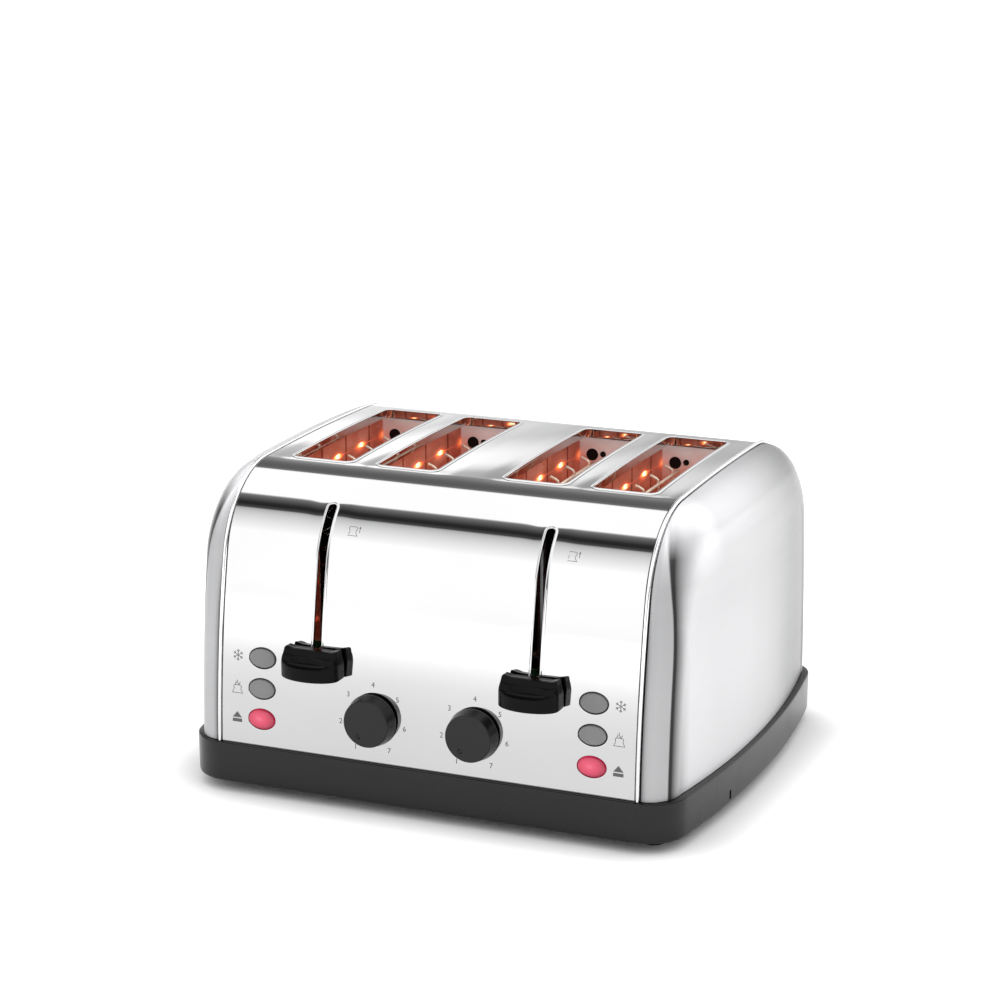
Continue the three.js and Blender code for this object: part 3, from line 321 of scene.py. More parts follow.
@dataclass(frozen=True)
class Arch:
    """Outline of the shell in the Y-Z plane: a flat crown, a bend and a nearly upright wall, tangent to each other.

    A place on it is the length s along the outline from the top, below 0 towards the front, and an inset inwards.
    """

    apex: float = 191.5
    seat: float = 31.3
    foot_depth: float = 136.9
    crown_radius: float = 2128.0
    crown_half_span: float = 71.2
    bend_radius: float = 55.9
    wall_radius: float = 650.0

    @cached_property
    def crown_angle(self) -> float:
        """Tilt at the end of the crown."""
        return math.asin(self.crown_half_span / self.crown_radius)

    @cached_property
    def bend_centre(self) -> Array:
        """Middle of the bend's circle, as depth and height."""
        reach = self.crown_radius - self.bend_radius
        return np.array([math.sin(self.crown_angle) * reach,
                         math.cos(self.crown_angle) * reach + self.apex - self.crown_radius])

    @cached_property
    def wall_angle(self) -> float:
        """Tilt where the bend meets the wall, from the triangle of both circles' middles and the foot."""
        foot = np.array([self.foot_depth, self.seat]) - self.bend_centre
        step = self.bend_radius - self.wall_radius
        length = float(np.hypot(*foot))
        turn = math.acos((length ** 2 + step ** 2 - self.wall_radius ** 2) / (2 * step * length))
        return math.atan2(foot[0], foot[1]) - turn

    @cached_property
    def wall_centre(self) -> Array:
        """Middle of the wall's circle, as depth and height."""
        step = self.bend_radius - self.wall_radius
        return np.array([math.sin(self.wall_angle), math.cos(self.wall_angle)]) * step + self.bend_centre

    def foot_angle(self, inset: Array | float = 0.0) -> Array:
        """Tilt at the foot, where the wall moved inwards reaches the seat."""
        return np.arccos((self.seat - self.wall_centre[1]) / (self.wall_radius - np.asarray(inset, float)))

    @cached_property
    def crown_length(self) -> float:
        """Length of half the crown."""
        return self.crown_radius * self.crown_angle

    @cached_property
    def wall_start(self) -> float:
        """Length from the top to the start of the wall."""
        return self.crown_length + self.bend_radius * (self.wall_angle - self.crown_angle)

    @cached_property
    def length(self) -> float:
        """Length from the top to the foot."""
        return self.wall_start + self.wall_radius * float(self.foot_angle() - self.wall_angle)

    @cached_property
    def arcs(self) -> Array:
        """Rows for the crown, the bend and the wall: start length, start tilt, radius, middle's depth and height."""
        return np.array([(0.0, 0.0, self.crown_radius, 0.0, self.apex - self.crown_radius),
                         (self.crown_length, self.crown_angle, self.bend_radius, *self.bend_centre),
                         (self.wall_start, self.wall_angle, self.wall_radius, *self.wall_centre)])

    def arc_at(self, t: Array) -> Array:
        """The five numbers of the arc at each length from the top, along the first axis."""
        return np.moveaxis(self.arcs[np.searchsorted(self.arcs[:, 0], t, "right") - 1], -1, 0)

    def tilt(self, s: Array, inset: Array | float = 0.0) -> Array:
        """Angle of the outward direction from upright. The wall's runs evenly to the foot at each inset."""
        t = np.abs(s)
        start, angle, radius, *_ = self.arc_at(t)
        share = (t - self.wall_start) / (self.length - self.wall_start)
        wall = self.wall_angle + (self.foot_angle(inset) - self.wall_angle) * share
        return np.where(t < self.wall_start, angle + (t - start) / radius, wall)

    def place(self, x: Array | float, s: Array, inset: Array | float = 0.0) -> Array:
        """Points on the arch: the circle's middle plus its radius less the inset, along the tilt.

        Args:
            x: places along X.
            s: lengths along the outline.
            inset: depth under the outer face, below 0 above it.

        Returns:
            Points, with the shapes of the arguments broadcast and a last axis of 3.
        """
        angle = self.tilt(s, inset)
        _, _, radius, depth, height = self.arc_at(np.abs(s))
        y = np.sign(s) * (depth + (radius - inset) * np.sin(angle))
        return np.stack(np.broadcast_arrays(x, y, height + (radius - inset) * np.cos(angle)), axis=-1)

    def facing(self, s: Array) -> Array:
        """Outward directions: the sine and cosine of the tilt."""
        angle = self.tilt(s)
        return np.stack([0 * angle, np.sign(s) * np.sin(angle), np.cos(angle)], axis=-1)

    def front_at(self, z: Array | float) -> Array:
        """Length s of the front's points at given heights."""
        height = np.asarray(z, float)
        on_wall = np.arccos(np.clip((height - self.wall_centre[1]) / self.wall_radius, -1, 1))
        on_bend = np.arccos(np.clip((height - self.bend_centre[1]) / self.bend_radius, -1, 1))
        wall = self.wall_start + (on_wall - self.wall_angle) * self.wall_radius
        bend = self.crown_length + (on_bend - self.crown_angle) * self.bend_radius
        return -np.where(on_wall > self.wall_angle, wall, bend)

    def stations(self, crown: int, bend: int, wall: int) -> Array:
        """Lengths s from the front foot to the back foot, evenly spaced within each arc."""
        half = np.concatenate([np.linspace(0, self.crown_length, crown + 1),
                               np.linspace(self.crown_length, self.wall_start, bend + 1)[1:],
                               np.linspace(self.wall_start, self.length, wall + 1)[1:]])
        return np.concatenate([-half[::-1], half[1:]])


ARCH = Arch()

# ---------------------------------------------------------------- finishes


class Wiring:
    """Adds nodes to a tree and links them."""

    def __init__(self, tree: bpy.types.NodeTree) -> None:
        """Keeps the tree."""
        self.tree = tree

    def join(self, value: object, socket: Socket) -> None:
        """Links a socket to an input, or sets the input to a plain value."""
        if isinstance(value, Socket):
            self.tree.links.new(value, socket)
        else:
            socket.default_value = value

    def node(self, kind: str, inputs: dict, **settings: object) -> bpy.types.Node:
        """Adds a node.

        Args:
            kind: the node's type, without the ShaderNode in front.
            inputs: for each input, a socket to link or a value to set.
            settings: the node's own properties.

        Returns:
            The node.
        """
        made = self.tree.nodes.new("ShaderNode" + kind)
        for key, value in settings.items():
            setattr(made, key, value)
        for key, value in inputs.items():
            self.join(value, made.inputs[key])
        return made

    def math(self, operation: str, *values: object) -> Socket:
        """A sum on one to three numbers or sockets."""
        return self.node("Math", dict(enumerate(values)), operation=operation).outputs[0]

    def vector(self, operation: str, *values: object) -> Socket:
        """A sum on one or two vectors or colours."""
        made = self.node("VectorMath", dict(enumerate(values)), operation=operation)
        return made.outputs["Value" if operation == "LENGTH" else "Vector"]

    def parts(self, vector: Socket) -> tuple[Socket, ...]:
        """The X, Y and Z of a vector."""
        return tuple(self.node("SeparateXYZ", {"Vector": vector}).outputs)

    def mix(self, share: Socket, first: object, second: object) -> Socket:
        """The first colour where the share is 0, the second where it is 1."""
        return self.node("Mix", {0: share, 6: first, 7: second}, data_type="RGBA").outputs[2]

    def span(self, value: Socket, low: float, high: float, to_low: float = 0.0, to_high: float = 1.0,
             soft: bool = False) -> Socket:
        """Stretches the range low to high onto another range.

        Args:
            value: the socket to stretch.
            low: start of its range.
            high: end of its range.
            to_low: what the start becomes.
            to_high: what the end becomes.
            soft: whether it sets off and arrives gently.

        Returns:
            The stretched socket.
        """
        made = self.node("MapRange", {"Value": value, "From Min": low, "From Max": high, "To Min": to_low,
                                      "To Max": to_high}, interpolation_type="SMOOTHSTEP" if soft else "LINEAR")
        return made.outputs["Result"]

    def ramp(self, value: Socket, stops: Sequence[tuple[float, Sequence[float] | float]],
             ease: str = "LINEAR", scale: float = 1.0) -> Socket:
        """Colours or shares of light along a value.

        Args:
            value: the socket that moves along the ramp.
            stops: pairs of place and colour or share, the places in any unit.
            ease: how the ramp runs between stops.
            scale: what one unit of the places is in the socket's own unit.

        Returns:
            The colour's socket.
        """
        low, high = stops[0][0], stops[-1][0]
        made = self.node("ValToRGB", {"Fac": self.span(value, low * scale, high * scale)})
        ramp = made.color_ramp
        ramp.interpolation = ease
        while len(ramp.elements) < len(stops):
            ramp.elements.new(1.0)
        for element, (place, colour) in zip(ramp.elements, stops):
            element.position = (place - low) / (high - low)
            element.color = (*np.broadcast_to(colour, 3), 1.0)
        return made.outputs["Color"]


class Recipe(Wiring):
    """A node material put together step by step. Its patterns lie on Object coordinates."""

    def __init__(self, name: str, centre: Sequence[float] = (0.0, 0.0, 0.0)) -> None:
        """Starts a material.

        Args:
            name: name of the material.
            centre: point in metres that the patterns are centred on.
        """
        self.material = bpy.data.materials.new(name)
        self.material.use_nodes = True
        super().__init__(self.material.node_tree)
        self.shader = self.tree.nodes["Principled BSDF"]
        self.place = self.vector("SUBTRACT", self.node("TexCoord", {}).outputs["Object"], tuple(centre))
        self.axes = self.parts(self.place)

    def set(self, **values: object) -> None:
        """Sets the shader's sockets, named with _ for a blank, to values or links."""
        for key, value in values.items():
            self.join(value, self.shader.inputs[key.replace("_", " ").title().replace("Ior", "IOR")])

    def stretched(self, scale: Sequence[float] | float) -> Socket:
        """The coordinates scaled, by one share or by one for each axis."""
        return self.vector("MULTIPLY", self.place, np.broadcast_to(scale, 3).tolist())

    def noise(self, scale: Sequence[float] | float, detail: float = 3.0, rough: float = 0.55) -> Socket:
        """Cloudy noise from 0 to 1, with so many spots a metre along each axis."""
        made = self.node("TexNoise", {"Vector": self.stretched(scale), "Scale": 1.0, "Detail": detail,
                                      "Roughness": rough})
        return made.outputs["Fac"]

    def flakes(self, scale: Sequence[float] | float) -> Socket:
        """Cells of one grey each, from 0 to 1, with so many cells a metre along each axis."""
        cells = self.node("TexVoronoi", {"Vector": self.stretched(scale), "Scale": 1.0}).outputs["Color"]
        return self.node("RGBToBW", {"Color": cells}).outputs["Val"]

    def wave(self, value: Socket, pitch: float, first: float, power: float) -> Socket:
        """Peaks of 1 along a coordinate: (0.5 + 0.5 cos)^power, with the pitch and the first peak in millimetres."""
        turn = self.math("MULTIPLY_ADD", value, 2 * math.pi / (pitch * MM), -2 * math.pi * first / pitch)
        return self.math("POWER", self.math("MULTIPLY_ADD", self.math("COSINE", turn), 0.5, 0.5), power)

    def bump(self, height: Socket, depth: float, strength: float = 1.0) -> None:
        """Raises the surface by a height pattern of a depth in millimetres, on top of earlier bumps."""
        made = self.node("Bump", {"Height": height, "Distance": depth * MM, "Strength": strength})
        socket = self.shader.inputs["Normal"]
        if socket.is_linked:
            self.tree.links.new(socket.links[0].from_socket, made.inputs["Normal"])
        self.tree.links.new(made.outputs["Normal"], socket)


def toned(colour: Sequence[float], share: float) -> tuple[float, ...]:
    """A colour made lighter or darker."""
    return tuple(min(1.0, channel * share) for channel in colour)


@dataclass(frozen=True)
class Finish:
    """A named look, with the point in metres that its patterns are centred on."""

    name: str
    centre: tuple[float, float, float] = field(default=(0.0, 0.0, 0.0), kw_only=True)

    def material(self) -> Material:
        """Builds the node material."""
        recipe = Recipe(self.name, self.centre)
        self.paint(recipe)
        return recipe.material

    def paint(self, recipe: Recipe) -> None:
        """Adds the look to an empty recipe."""
        raise NotImplementedError


@dataclass(frozen=True)
class PolishedSteel(Finish):
    """Mirror-polished sheet with faint ripple, wiping marks and hairlines, and painted shade that darkens it towards
    the foot.

    The stops of the painted shade give the share of light that stays, over the height in millimetres.
    """

    tone: tuple[float, float, float] = (0.58, 0.58, 0.583)
    roughness: float = 0.03
    ripple: float = 0.02
    handled = ((30, 0.76), (60, 0.77), (80, 0.81), (102, 0.93), (130, 1.0))

    def paint(self, recipe: Recipe) -> None:
        """Adds the look to a recipe."""
        wiped = recipe.noise((9, 9, 14), 3)
        hairs = recipe.noise((60, 1500, 1500), 2)
        recipe.set(metallic=1.0)
        sheet = recipe.ramp(wiped, [(0.3, toned(self.tone, 0.975)), (0.7, toned(self.tone, 1.02))])
        # painted shade: the sheet's colour grows darker towards the foot
        foot_shade = recipe.ramp(recipe.axes[2], self.handled, scale=MM)
        recipe.set(base_color=recipe.vector("MULTIPLY", sheet, foot_shade))
        mixed = recipe.math("MULTIPLY_ADD", hairs, 0.35, wiped)
        recipe.set(roughness=recipe.span(mixed, 0.35, 0.95, self.roughness * 0.6, self.roughness * 1.7))
        recipe.bump(recipe.noise((22, 16, 16), 1), self.ripple)


@dataclass(frozen=True)
class BrushedSteel(Finish):
    """Satin sheet ground in level lines, so that what it mirrors is drawn out upwards.

    Painted shade darkens the groove beside the bead, dims each upright corner and draws a dark line along its outer
    edge;
    further painted shade darkens the sheet towards the back, painted light over the height dims its middle and
    brightens its top, and a painted highlight brightens the front of the top corners. The stops give the share of
    light that stays, over the distance from the object's middle along X and, for the rear shade and the light over
    the height, along Y and Z in millimetres. Higher up, the dark line leans inwards with the cube of the height, its
    outer part widens and then it fades. Four numbers in a row are a range of a coordinate in metres and what its two
    ends become.
    """

    tone: tuple[float, float, float] = (0.62, 0.62, 0.63)
    roughness: float = 0.36
    stretch: float = 1.0
    lines: tuple[float, float, float] = (24.0, 24.0, 1500.0)
    depth: float = 0.0015
    lean_from: float = 0.095
    lean: float = 20.0
    streak_edge: float = 0.1466
    widening: tuple[float, ...] = (0.13, 0.175, 0.0, -0.75)
    fading: tuple[float, ...] = (0.166, 0.19, 1.0, 0.0)
    # painted highlight at the front of the top corners: its ranges in Z and in Y
    shine_up: tuple[float, float] = (0.152, 0.175)
    shine_ahead: tuple[float, ...] = (-0.06, -0.095, 0.0, 0.42)
    # painted shade over the distance along X: the groove, the corner and its dark line
    streak = ((130.0, 1.0), (132.8, 0.25), (134.0, 0.28), (134.9, 0.5), (136.5, 0.68), (140.0, 0.72), (146.5, 0.71),
              (147.0, 0.07), (147.8, 0.06), (148.3, 0.2), (149.0, 0.38), (149.9, 0.6), (150.8, 0.84), (151.8, 1.0),
              (153.0, 1.0))
    # painted light over the height, and painted shade towards the back
    upwards = ((90, 1.0), (135, 0.91), (163, 0.92), (175, 1.1), (182, 1.28), (192, 1.42))
    worn = ((-100, 0.97), (-62, 0.91), (-20, 0.88), (10, 0.8), (36, 0.68), (66, 0.47), (90, 0.4), (100, 0.4))

    def paint(self, recipe: Recipe) -> None:
        """Adds the look to a recipe."""
        grain = recipe.noise(self.lines, 4, 0.7)
        cloud = recipe.noise((16, 16, 10), 3)
        recipe.set(metallic=1.0, anisotropic=self.stretch)
        mixed = recipe.math("MULTIPLY_ADD", grain, 0.4, cloud)
        sheet = recipe.ramp(mixed, [(0.45, toned(self.tone, 0.98)), (1.0, toned(self.tone, 1.02))])
        x, y, z = recipe.axes
        # painted shade: the dark line leans inwards higher up, widens and fades
        above = recipe.math("MAXIMUM", recipe.math("SUBTRACT", z, self.lean_from), 0.0)
        lean = recipe.math("MULTIPLY", recipe.math("POWER", above, 3.0), self.lean)
        leaning = recipe.math("ADD", recipe.math("ABSOLUTE", x), lean)
        beyond = recipe.math("MAXIMUM", recipe.math("SUBTRACT", leaning, self.streak_edge), 0.0)
        leaning = recipe.math("MULTIPLY_ADD", beyond, recipe.span(z, *self.widening), leaning)
        painted_shade_streaked = recipe.mix(recipe.span(z, *self.fading), (1, 1, 1, 1), recipe.ramp(leaning, self.streak, scale=MM))
        # painted shade towards the back, painted light over the height and a painted highlight at the front of the
        # top corners
        worn, upwards = recipe.ramp(y, self.worn, scale=MM), recipe.ramp(z, self.upwards, scale=MM)
        painted_highlight = recipe.math("MULTIPLY", recipe.span(z, *self.shine_up), recipe.span(y, *self.shine_ahead))
        light = recipe.math("ADD", painted_highlight, 1.0)
        for share in (worn, upwards, painted_shade_streaked, sheet):
            light = recipe.vector("MULTIPLY", light, share)
        recipe.set(base_color=light)
        recipe.set(roughness=recipe.span(grain, 0.3, 0.7, self.roughness * 0.92, self.roughness * 1.1))
        recipe.set(tangent=recipe.node("CombineXYZ", {"Z": 1.0}).outputs["Vector"])
        recipe.bump(grain, self.depth, 0.3)


@dataclass(frozen=True)
class MouldedPlastic(Finish):
    """Moulded plastic or rubber with a fine spark-eroded grain."""

    tone: tuple[float, float, float]
    roughness: float = 0.42
    grain: float = 1400.0
    depth: float = 0.03
    specular: float = 0.5

    def paint(self, recipe: Recipe) -> None:
        """Adds the look to a recipe."""
        fine = recipe.noise(self.grain, 2, 0.6)
        cloud = recipe.noise(35, 3)
        recipe.set(base_color=recipe.ramp(cloud, [(0.3, toned(self.tone, 0.9)), (0.7, toned(self.tone, 1.1))]))
        mixed = recipe.math("MULTIPLY_ADD", fine, 0.4, cloud)
        recipe.set(roughness=recipe.span(mixed, 0.5, 0.95, self.roughness * 0.88, self.roughness * 1.12))
        recipe.set(specular_ior_level=self.specular)
        recipe.bump(fine, self.depth, 0.6)


@dataclass(frozen=True)
class LampPlastic(Finish):
    """Clear red plastic with a lamp behind it, brightest a little off its middle."""

    glow: float = 0.6

    def paint(self, recipe: Recipe) -> None:
        """Adds the look to a recipe."""
        spread = recipe.vector("LENGTH", recipe.stretched((115, 0, 165)))
        cloud = recipe.noise(300, 2)
        reach = recipe.math("MULTIPLY_ADD", cloud, 0.15, spread)
        colours = [(0.1, (0.95, 0.17, 0.28)), (0.5, (0.88, 0.06, 0.15)), (0.85, (0.72, 0.03, 0.1)),
                   (1.0, (0.45, 0.02, 0.06))]
        lit = recipe.ramp(reach, colours, "EASE")
        recipe.set(base_color=recipe.ramp(reach, [(0.2, (0.20, 0.012, 0.03)), (1.0, (0.12, 0.008, 0.02))]),
                   emission_color=lit, emission_strength=self.glow, roughness=0.22, specular_ior_level=0.6)
        recipe.bump(recipe.noise(500, 2), 0.03, 0.4)


@dataclass(frozen=True)
class Print(Finish):
    """Printed ink with slightly uneven cover."""

    tone: tuple[float, float, float] = (0.05, 0.05, 0.052)

    def paint(self, recipe: Recipe) -> None:
        """Adds the look to a recipe."""
        cover = recipe.noise(2500, 2)
        recipe.set(base_color=recipe.ramp(cover, [(0.3, self.tone), (0.75, toned(self.tone, 1.7))]))
        recipe.set(roughness=recipe.span(cover, 0.2, 0.8, 0.45, 0.6))


@dataclass(frozen=True)
class PlatedSheet(Finish):
    """Zinc-plated sheet with a cloudy crystal pattern and a little tarnish."""

    tone: tuple[float, float, float] = (0.46, 0.465, 0.47)
    roughness: float = 0.34
    crystals: float = 160.0
    metal: float = 0.9

    def paint(self, recipe: Recipe) -> None:
        """Adds the look to a recipe."""
        crystal = recipe.flakes(self.crystals)
        cloud = recipe.noise(60, 4)
        mixed = recipe.math("MULTIPLY_ADD", crystal, 0.35, cloud)
        recipe.set(metallic=self.metal)
        recipe.set(base_color=recipe.ramp(mixed, [(0.35, toned(self.tone, 0.72)), (0.95, toned(self.tone, 1.15))]))
        recipe.set(roughness=recipe.span(mixed, 0.3, 1.0, self.roughness * 0.8, self.roughness * 1.35))
        recipe.bump(cloud, 0.02, 0.5)


@dataclass(frozen=True)
class ScorchedSheet(Finish):
    """Sheet beside the heaters in painted light: red and brown from the heaters' glow in the depth, pale from the
    light that falls in at the top, and faintly glowing.
    """

    glow: float = 0.26
    # painted light over the height: heater glow low down, outside light near the top
    heights = ((140, (0.32, 0.06, 0.03)), (158, (0.55, 0.17, 0.10)), (168, (0.64, 0.31, 0.25)),
               (177, (0.74, 0.56, 0.53)), (183, (0.80, 0.74, 0.72)))

    def paint(self, recipe: Recipe) -> None:
        """Adds the look: colours over the height, moved about by a cloud."""
        cloud = recipe.noise((45, 45, 70), 4)
        moved = recipe.math("ADD", recipe.axes[2], recipe.span(cloud, 0.3, 0.7, -0.003, 0.003))
        colour = recipe.ramp(moved, self.heights, scale=MM)
        # the painted colours also give off a faint painted glow
        recipe.set(base_color=colour, metallic=0.1, emission_color=colour, emission_strength=self.glow)
        recipe.set(roughness=recipe.span(cloud, 0.3, 0.7, 0.5, 0.65))
        recipe.bump(cloud, 0.05, 0.4)


@dataclass(frozen=True)
class MicaBoard(Finish):
    """Flaky mica board with painted glow round each hot stretch of the ribbons, and a dark line of painted shade
    between them.
    """

    warmth: float = 0.1
    halo: float = 0.8
    pitch_y: float = 34.0
    first_y: float = 11.0
    seam_y: float = 24.0
    pitch_z: float = 24.17
    first_z: float = 170.9
    fade: tuple[float, ...] = (0.11, 0.145, 0.05, 1.0)

    def paint(self, recipe: Recipe) -> None:
        """Adds the look: the halo is a power of a cosine along Y times one along Z."""
        flake = recipe.flakes((90, 60, 160))
        cloud = recipe.noise((40, 25, 60), 4)
        _, y, z = recipe.axes
        # painted shade: a dark line between the hot stretches
        shade_line = recipe.wave(y, self.pitch_y, self.seam_y, 150.0)
        mixed = recipe.math("MULTIPLY_ADD", flake, 0.4, cloud)
        shaded = recipe.math("MULTIPLY_ADD", shade_line, -1.0, mixed)
        colours = [(0.0, (0.05, 0.012, 0.008)), (0.35, (0.40, 0.11, 0.065)), (0.7, (0.56, 0.21, 0.14)),
                   (1.0, (0.66, 0.36, 0.28))]
        recipe.set(base_color=recipe.ramp(shaded, colours), metallic=0.15)
        recipe.set(roughness=recipe.span(flake, 0.0, 1.0, 0.3, 0.55))
        # painted glow: the board gives off light round each hot stretch and faintly all over
        along = recipe.wave(y, self.pitch_y, self.first_y, 3.0)
        upwards = recipe.wave(z, self.pitch_z, self.first_z, 7.0)
        depth = recipe.span(z, *self.fade)
        halo = recipe.math("MULTIPLY", along, recipe.math("MULTIPLY", upwards, depth))
        recipe.set(emission_color=recipe.ramp(halo, [(0.0, (0.75, 0.06, 0.02)), (0.5, (1.0, 0.13, 0.025)),
                                                     (1.0, (1.0, 0.26, 0.06))]))
        spread = recipe.math("MULTIPLY", recipe.math("MULTIPLY", cloud, self.warmth * 2), depth)
        recipe.set(emission_strength=recipe.math("MULTIPLY_ADD", halo, self.halo, spread))
        recipe.bump(flake, 0.05, 0.4)


@dataclass(frozen=True)
class GlowingRibbon(Finish):
    """Heating ribbon that glows dull red, with hot stretches at an even pitch along Y, mostly near the top."""

    pitch: float = 34.0
    first: float = 11.0
    base_glow: float = 0.3
    peak_glow: float = 3.2
    fade: tuple[float, ...] = (0.12, 0.14, 0.08, 1.0)

    def paint(self, recipe: Recipe) -> None:
        """Adds the look: the glow follows a power of a cosine along Y."""
        _, y, z = recipe.axes
        upper = recipe.span(z, *self.fade)
        peak = recipe.math("MULTIPLY", recipe.wave(y, self.pitch, self.first, 4.0), upper)
        recipe.set(base_color=recipe.ramp(peak, [(0.0, (0.30, 0.14, 0.10)), (1.0, (0.8, 0.4, 0.2))]))
        recipe.set(emission_color=recipe.ramp(peak, [(0.0, (1.0, 0.08, 0.02)), (0.4, (1.0, 0.17, 0.03)),
                                                     (0.8, (1.0, 0.38, 0.10)), (1.0, (1.0, 0.70, 0.42))]))
        dull = recipe.math("MULTIPLY", upper, self.base_glow)
        recipe.set(emission_strength=recipe.math("MULTIPLY_ADD", peak, self.peak_glow, dull), roughness=0.5)


@dataclass(frozen=True)
class Laminate(Finish):
    """Green circuit board with copper tracks under the varnish."""

    def paint(self, recipe: Recipe) -> None:
        """Adds the look to a recipe."""
        tracks = recipe.node("TexBrick", {"Vector": recipe.stretched(120), "Scale": 1.0,
                                          "Mortar Size": 0.06}).outputs["Fac"]
        recipe.set(base_color=recipe.ramp(tracks, [(0.0, (0.02, 0.10, 0.04)), (1.0, (0.06, 0.22, 0.09))]))
        recipe.set(roughness=recipe.span(recipe.noise(200), 0.3, 0.7, 0.25, 0.45))
        recipe.bump(tracks, 0.05, 0.5)


@dataclass(frozen=True)
class Winding(Finish):
    """Enamelled copper wire wound in layers."""

    def paint(self, recipe: Recipe) -> None:
        """Adds the look to a recipe."""
        turns = recipe.node("TexWave", {"Vector": recipe.place, "Scale": 900.0, "Distortion": 0.4},
                            bands_direction="Z").outputs["Fac"]
        recipe.set(base_color=recipe.ramp(turns, [(0.0, (0.16, 0.05, 0.015)), (1.0, (0.55, 0.22, 0.08))]))
        recipe.set(metallic=0.7, roughness=recipe.span(turns, 0.0, 1.0, 0.5, 0.3))
        recipe.bump(turns, 0.3, 0.8)


PANEL_STEEL = PolishedSteel("polished panel steel")
BEAD_STEEL = PolishedSteel("polished bead steel", (0.78, 0.78, 0.785), 0.12)
COVER_STEEL = BrushedSteel("brushed cover steel")
BASE_PLASTIC = MouldedPlastic("base plastic", (0.005, 0.005, 0.0052), 0.26, 1500, 0.012, 0.27)
LEVER_PLASTIC = MouldedPlastic("lever plastic", (0.0024, 0.0023, 0.0025), 0.24, 1300, 0.01, 0.07)
DIAL_PLASTIC = MouldedPlastic("dial plastic", (0.0058, 0.0058, 0.006), 0.3, 1500, 0.015, 0.27)
BUTTON_PLASTIC = MouldedPlastic("grey button plastic", (0.136, 0.136, 0.139), 0.35, 1200, 0.015)
FOOT_RUBBER = MouldedPlastic("foot rubber", (0.012, 0.012, 0.012), 0.75, 900, 0.06, 0.3)
GLAND_RUBBER = MouldedPlastic("gland rubber", (0.014, 0.014, 0.014), 0.6, 900, 0.05, 0.35)
TERMINAL_RESIN = MouldedPlastic("terminal resin", (0.62, 0.58, 0.47), 0.5, 700, 0.05)
PANEL_PRINT = Print("panel print")
PLATED = PlatedSheet("plated sheet")
GUARD_WIRE = PlatedSheet("guard wire steel", (0.95, 0.80, 0.66), 0.4, 500.0, 0.35)
MICA = MicaBoard("mica board")
RIBBON = GlowingRibbon("glowing ribbon")
# painted shade: the front plate is near black so that the lever slots look dark inside
SHADE_DARK_FRONT_SHEET = PlatedSheet("front sheet in painted shade", (0.035, 0.033, 0.032), 0.5)
REAR_SHEET = ScorchedSheet("rear sheet")
# painted shade: dark cups that stand for holes in the rear plate
HOLE_SHADE = MouldedPlastic("hole_cup shade", (0.006, 0.005, 0.005), 0.6, 700, 0.02, 0.2)
LAMINATE = Laminate("board laminate")
WINDING = Winding("coil winding")


# ---------------------------------------------------------------- the bench


def added(name: str, data: bpy.types.ID) -> bpy.types.Object:
    """Adds an object to the scene."""
    made = bpy.data.objects.new(name, data)
    bpy.context.scene.collection.objects.link(made)
    return made


def applied(piece: bpy.types.Object) -> bpy.types.Mesh:
    """The mesh that an object's modifiers or its text make."""
    bpy.context.view_layer.update()
    return bpy.data.meshes.new_from_object(piece.evaluated_get(bpy.context.evaluated_depsgraph_get()))


